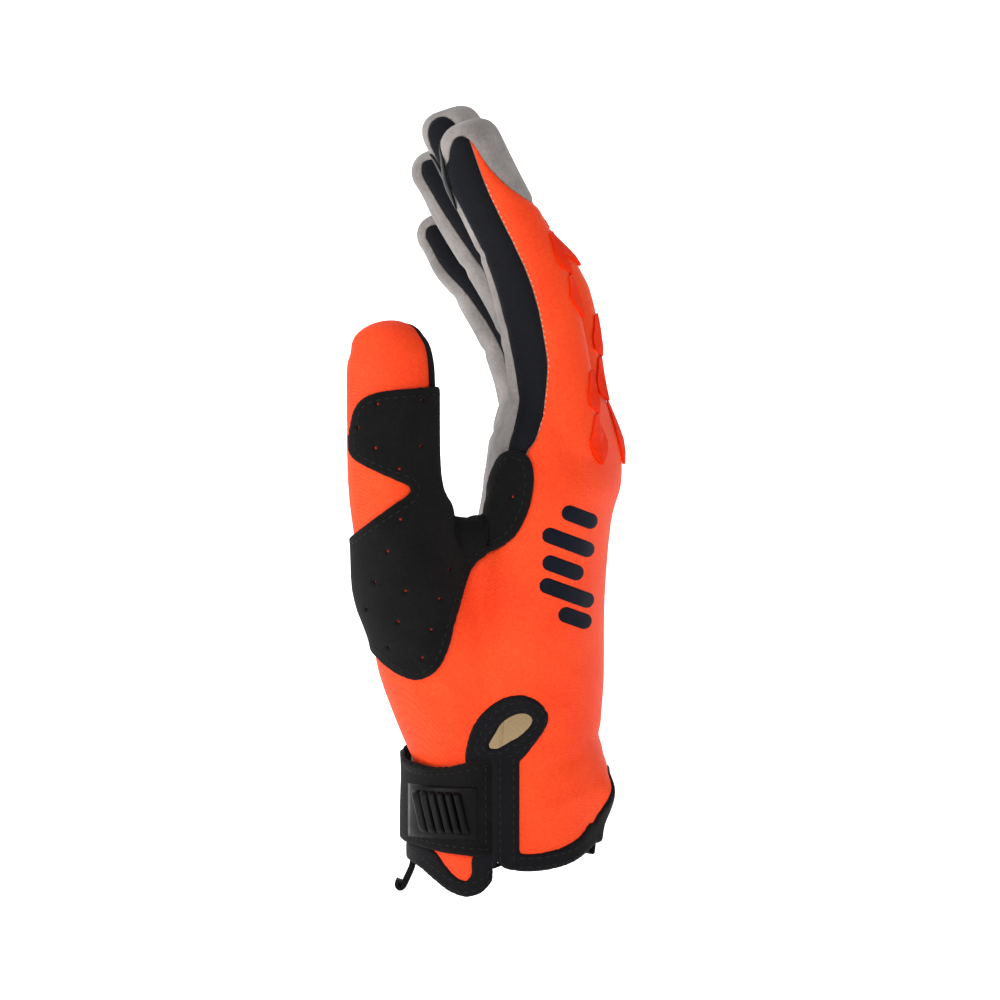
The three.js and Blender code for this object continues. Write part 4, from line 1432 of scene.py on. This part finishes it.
def on_strap(x, z, lift):
    hit, normal = on_near_side(x, z)
    return hit + normal * (BADGE_LIFT + lift + strap_extra(hit))


def badge_place(low, high, start, end, lift, rise, slant=0.0):
    def place(a, b):
        x = (start + end) / 2 + a * (end - start) / 2 - slant * (b + 1) / 2
        z = (low + high) / 2 + b * (high - low) / 2
        round_off = (1 - abs(a) ** 4) * (1 - abs(b) ** 8)
        return on_strap(x, z, lift - 0.3), on_strap(x, z, lift + rise * round_off**0.5)

    return place


bm = bmesh.new()
low, high, start, end = BADGE.values()
closed_sheet(bm, 24, 20, badge_place(low, high, start, end, 0, 0.35))
count, width, slant, margin = BADGE_RIBS.values()
pitch = (start - end - 2 * margin - slant - width) / (count - 1)
for k in range(count):
    left = start - margin - k * pitch
    closed_sheet(bm, 8, 20, badge_place(low + margin, high - margin, left, left - width, 0.3, 1.3, slant))
small_part("strap_badge", bm, [BLACK_RUBBER], "black_rubber", ["strap_badge"])

# Silicone print on the two touch fingertips: low and high ends, half width
GRIP_PRINTS = {"index": (216, 196), "middle": (214, 204)}
GRIP_HALF = 3.6


def grip_place(limb, high, low):
    def place(a, b):
        z = (high + low) / 2 + b * (high - low) / 2 * math.sqrt(1 - 0.8 * a * a)
        centre = limb.at((high + low) / 2)[0]
        start = Vector((centre.x, centre.y + a * GRIP_HALF, z))
        hit, normal, _, _ = surface.ray_cast(start, Vector((-1, 0, 0)))
        return hit + normal * -0.1, hit + normal * 0.3

    return place


for finger, (high, low) in GRIP_PRINTS.items():
    bm = bmesh.new()
    closed_sheet(bm, 10, 16, grip_place(limbs[finger], high, low))
    small_part("grip_print_" + finger, bm, [GRIP_PRINT], "black_rubber", ["grip_print_" + finger])

# Pull tab: a folded loop of webbing under the palm side of the hem
PULL_TAB_LINE = [
    (-27.6, 4.4), (-28.2, 1.2), (-29.5, -1.8), (-30.8, -4.4), (-31.8, -4.9), (-32.4, -4), (-32, -2.8),
]
PULL_TAB_HALF = 5
tab = np.array(curved(PULL_TAB_LINE, 6))


def tab_place(a, b):
    k = (b + 1) / 2 * (len(tab) - 1)
    x, z = (float(np.interp(k, np.arange(len(tab)), tab[:, i])) for i in (0, 1))
    ahead = tab[min(int(k) + 1, len(tab) - 1)] - tab[max(int(k) - 1, 0)]
    out = Vector((-ahead[1], 0, ahead[0])).normalized() * 0.95
    middle = Vector((x, a * PULL_TAB_HALF, z))
    return middle - out, middle + out


bm = bmesh.new()
closed_sheet(bm, 10, 36, tab_place)
small_part("pull_tab", bm, [BLACK_BINDING], "black_binding", ["pull_tab"], bevel=0.2)


# Stitches


def stitch(bm, a, b, radius):
    """One stitch between two places, each a point and a normal."""
    (start, n), (end, _) = a, b
    along = end - start
    if along.length < 1e-3:
        return
    axis = along.normalized()
    up = (n - axis * n.dot(axis)).normalized()
    turn = Matrix((axis, up.cross(axis), up)).transposed().to_4x4()
    size = Matrix.Diagonal((along.length / 2, radius, radius * 0.8, 1))
    place = Matrix.Translation((start + end) / 2)
    bmesh.ops.create_uvsphere(bm, u_segments=8, v_segments=5, radius=1, matrix=place @ turn @ size)


def sew(seams, path, pitch, length, radius):
    """Stitches along a path of points and normals. None in the path is a break."""
    bm = bmesh.new()
    seams.append(bm)
    run = 0.0
    travelled = 0.0
    marks = []
    previous = None
    for entry in path:
        if entry is None:
            previous = None
            continue
        if previous:
            step = (entry[0] - previous[0]).length
            if step < 6:
                marks.append((travelled, previous, travelled + step, entry))
                travelled += step
        previous = entry
    for low, a, high, b in marks:
        while run < high:
            share = (run - low) / max(high - low, 1e-6)
            point = a[0].lerp(b[0], share)
            normal = a[1].lerp(b[1], share).normalized()
            way = (b[0] - a[0]).normalized() * length / 2
            stitch(bm, (point - way, normal), (point + way, normal), radius)
            run += pitch


def resampled(line, step, closed=False):
    points = np.array([*line, line[0]] if closed else line, float)
    lengths = np.concatenate([[0], np.cumsum(np.linalg.norm(np.diff(points, axis=0), axis=1))])
    at = np.arange(0, lengths[-1], step)
    return np.stack([np.interp(at, lengths, points[:, k]) for k in (0, 1)], axis=1)


def inset(outline, distance, closed=True):
    """An outline moved in by a distance, from its own signed distance."""
    points = resampled(outline, 0.8, closed)
    step = 0.05

    def value(q):
        return inside(outline, q[:, 0], q[:, 1])

    for _ in range(3):
        rises = [value(points + way) - value(points - way) for way in ((step, 0), (0, step))]
        slope = np.stack(rises, axis=1)
        slope /= np.maximum(np.linalg.norm(slope, axis=1), 1e-6)[:, None]
        points = points + slope * (distance - value(points))[:, None]
    return points


def near_path(points, lift, facing=0.12):
    path = []
    for x, z in points:
        found = on_near_side(x, z, lift)
        path.append(found if found and found[1].y < -facing else None)
    return path


def finger_path(finger, towards):
    """Along the seam where a finger's side meets its back, just inside the back."""
    limb = limbs[finger]
    seam = np.array(SEAMS[finger][towards])
    low = -0.12 if SEAMS[finger][towards] is OUTER_SEAM else 0.04
    path = []
    for at in np.linspace(low, 0.78, 90):
        z = CROTCH_Z + at * (limb.tip - CROTCH_Z)
        centre, back, side, half, wide = limb.at(z)
        share = np.interp(at, seam[:, 0], seam[:, 2])
        way = side if towards else -side
        hit, normal, _, distance = surface.ray_cast(centre + back * (share * half + 0.3), way)
        path.append((hit - normal * 0.5, normal) if hit and distance < wide * 1.15 else None)
    return path


light = []
black = []
LIGHT = {"pitch": 1.7, "length": 0.75, "radius": 0.12}
BLACK = {"pitch": 2.6, "length": 1.8, "radius": 0.2}
for finger in FINGERS:
    for towards in (0, 1):
        sew(light, finger_path(finger, towards), **LIGHT)
guard_line = inset(rounded(WEB_GUARD, 3), 2.2)
sew(black, near_path(guard_line, GUARD["lift"] + GUARD["height"] + 0.05), **BLACK)
strap_line = inset(STRAP_NEAR, 2.4)
strap_top = STRAP["lift"] + STRAP["height"] + 0.05
sew(
    black,
    [p and (p[0] + p[1] * strap_extra(p[0]), p[1]) for p in near_path(strap_line, strap_top)],
    **BLACK,
)
binding_top = BINDING["lift"] + BINDING["height"]
for distance in (1.4, 4.0):
    line = [(x, z + distance) for x, z in resampled(near_hem[1:-1], 0.8)]
    sew(black, near_path(line, binding_top), **BLACK)
for distance in (1.4, 3.6):
    sew(black, near_path(inset(rounded(KEYHOLE), -distance), binding_top), **BLACK)
for x in (-1.6, 2.2):
    line = [(x, z) for z in np.arange(6, 36, 0.8)]
    path = [p and (p[0] + p[1] * binding_extra(p[0]), p[1]) for p in near_path(line, binding_top)]
    sew(black, path, **BLACK)
piece("light_stitches", joined(light), [LIGHT_THREAD], "orange_knit")
piece("black_stitches", joined(black), [BLACK_THREAD], "black_binding")


# Lights, floor and camera


def area_light(name, place, aim, size, power):
    data = bpy.data.lights.new(name, "AREA")
    data.shape = "DISK"
    data.size = size
    data.energy = power
    lamp = bpy.data.objects.new(name, data)
    lamp.location = place
    lamp.rotation_euler = (Vector(aim) - Vector(place)).to_track_quat("-Z", "Y").to_euler()
    bpy.context.collection.objects.link(lamp)


GLOVE_MIDDLE = (0, 0, 0.11)
area_light("key", (-0.6, -1.5, 1.0), GLOVE_MIDDLE, 0.8, 11)
area_light("fill", (1.1, -1.4, 0.3), GLOVE_MIDDLE, 1.1, 2.5)
area_light("palm", (-1.4, -0.5, 0.4), GLOVE_MIDDLE, 0.9, 11)
area_light("top", (0.1, 0.2, 1.5), GLOVE_MIDDLE, 0.9, 5)

FLOOR_Z = -0.012
bm = bmesh.new()
bmesh.ops.create_grid(bm, x_segments=1, y_segments=1, size=3, matrix=Matrix.Translation((0, 0, FLOOR_Z)))
mesh = bpy.data.meshes.new("floor")
bm.to_mesh(mesh)
bm.free()


def floor_build(look):
    place = look.add("TexCoord").outputs["Object"]
    grain = look.add("TexNoise", {"Vector": place, "Scale": 3.0}).outputs["Fac"]
    return {
        "Base Color": look.blend(grain, (0.93, 0.93, 0.93, 1), (0.95, 0.95, 0.95, 1)),
        "Roughness": 0.9,
        "Emission Color": (1, 1, 1, 1),
        "Emission Strength": 0.8,
    }


mesh.materials.append(material("pale_floor", (0.9, 0.9, 0.9), floor_build))
floor = bpy.data.objects.new("floor", mesh)
bpy.context.collection.objects.link(floor)
backdrop = bpy.data.objects.new("backdrop", mesh)
backdrop.location = (0, 2.5, 0)
backdrop.rotation_euler = (math.radians(90), 0, 0)
bpy.context.collection.objects.link(backdrop)

world = bpy.data.worlds.new("studio")
world.use_nodes = True
world.node_tree.nodes["Background"].inputs["Color"].default_value = (1, 1, 1, 1)
world.node_tree.nodes["Background"].inputs["Strength"].default_value = 0.26
scene = bpy.context.scene
scene.world = world
scene.view_settings.view_transform = "Standard"

camera_data = bpy.data.cameras.new("camera")
camera_data.lens = 180
camera_data.sensor_width = 36
camera = bpy.data.objects.new("camera", camera_data)
camera.location = (-0.0018, -1.5, 0.111)
camera.rotation_euler = (math.radians(90), 0, 0)
bpy.context.collection.objects.link(camera)
scene.camera = camera
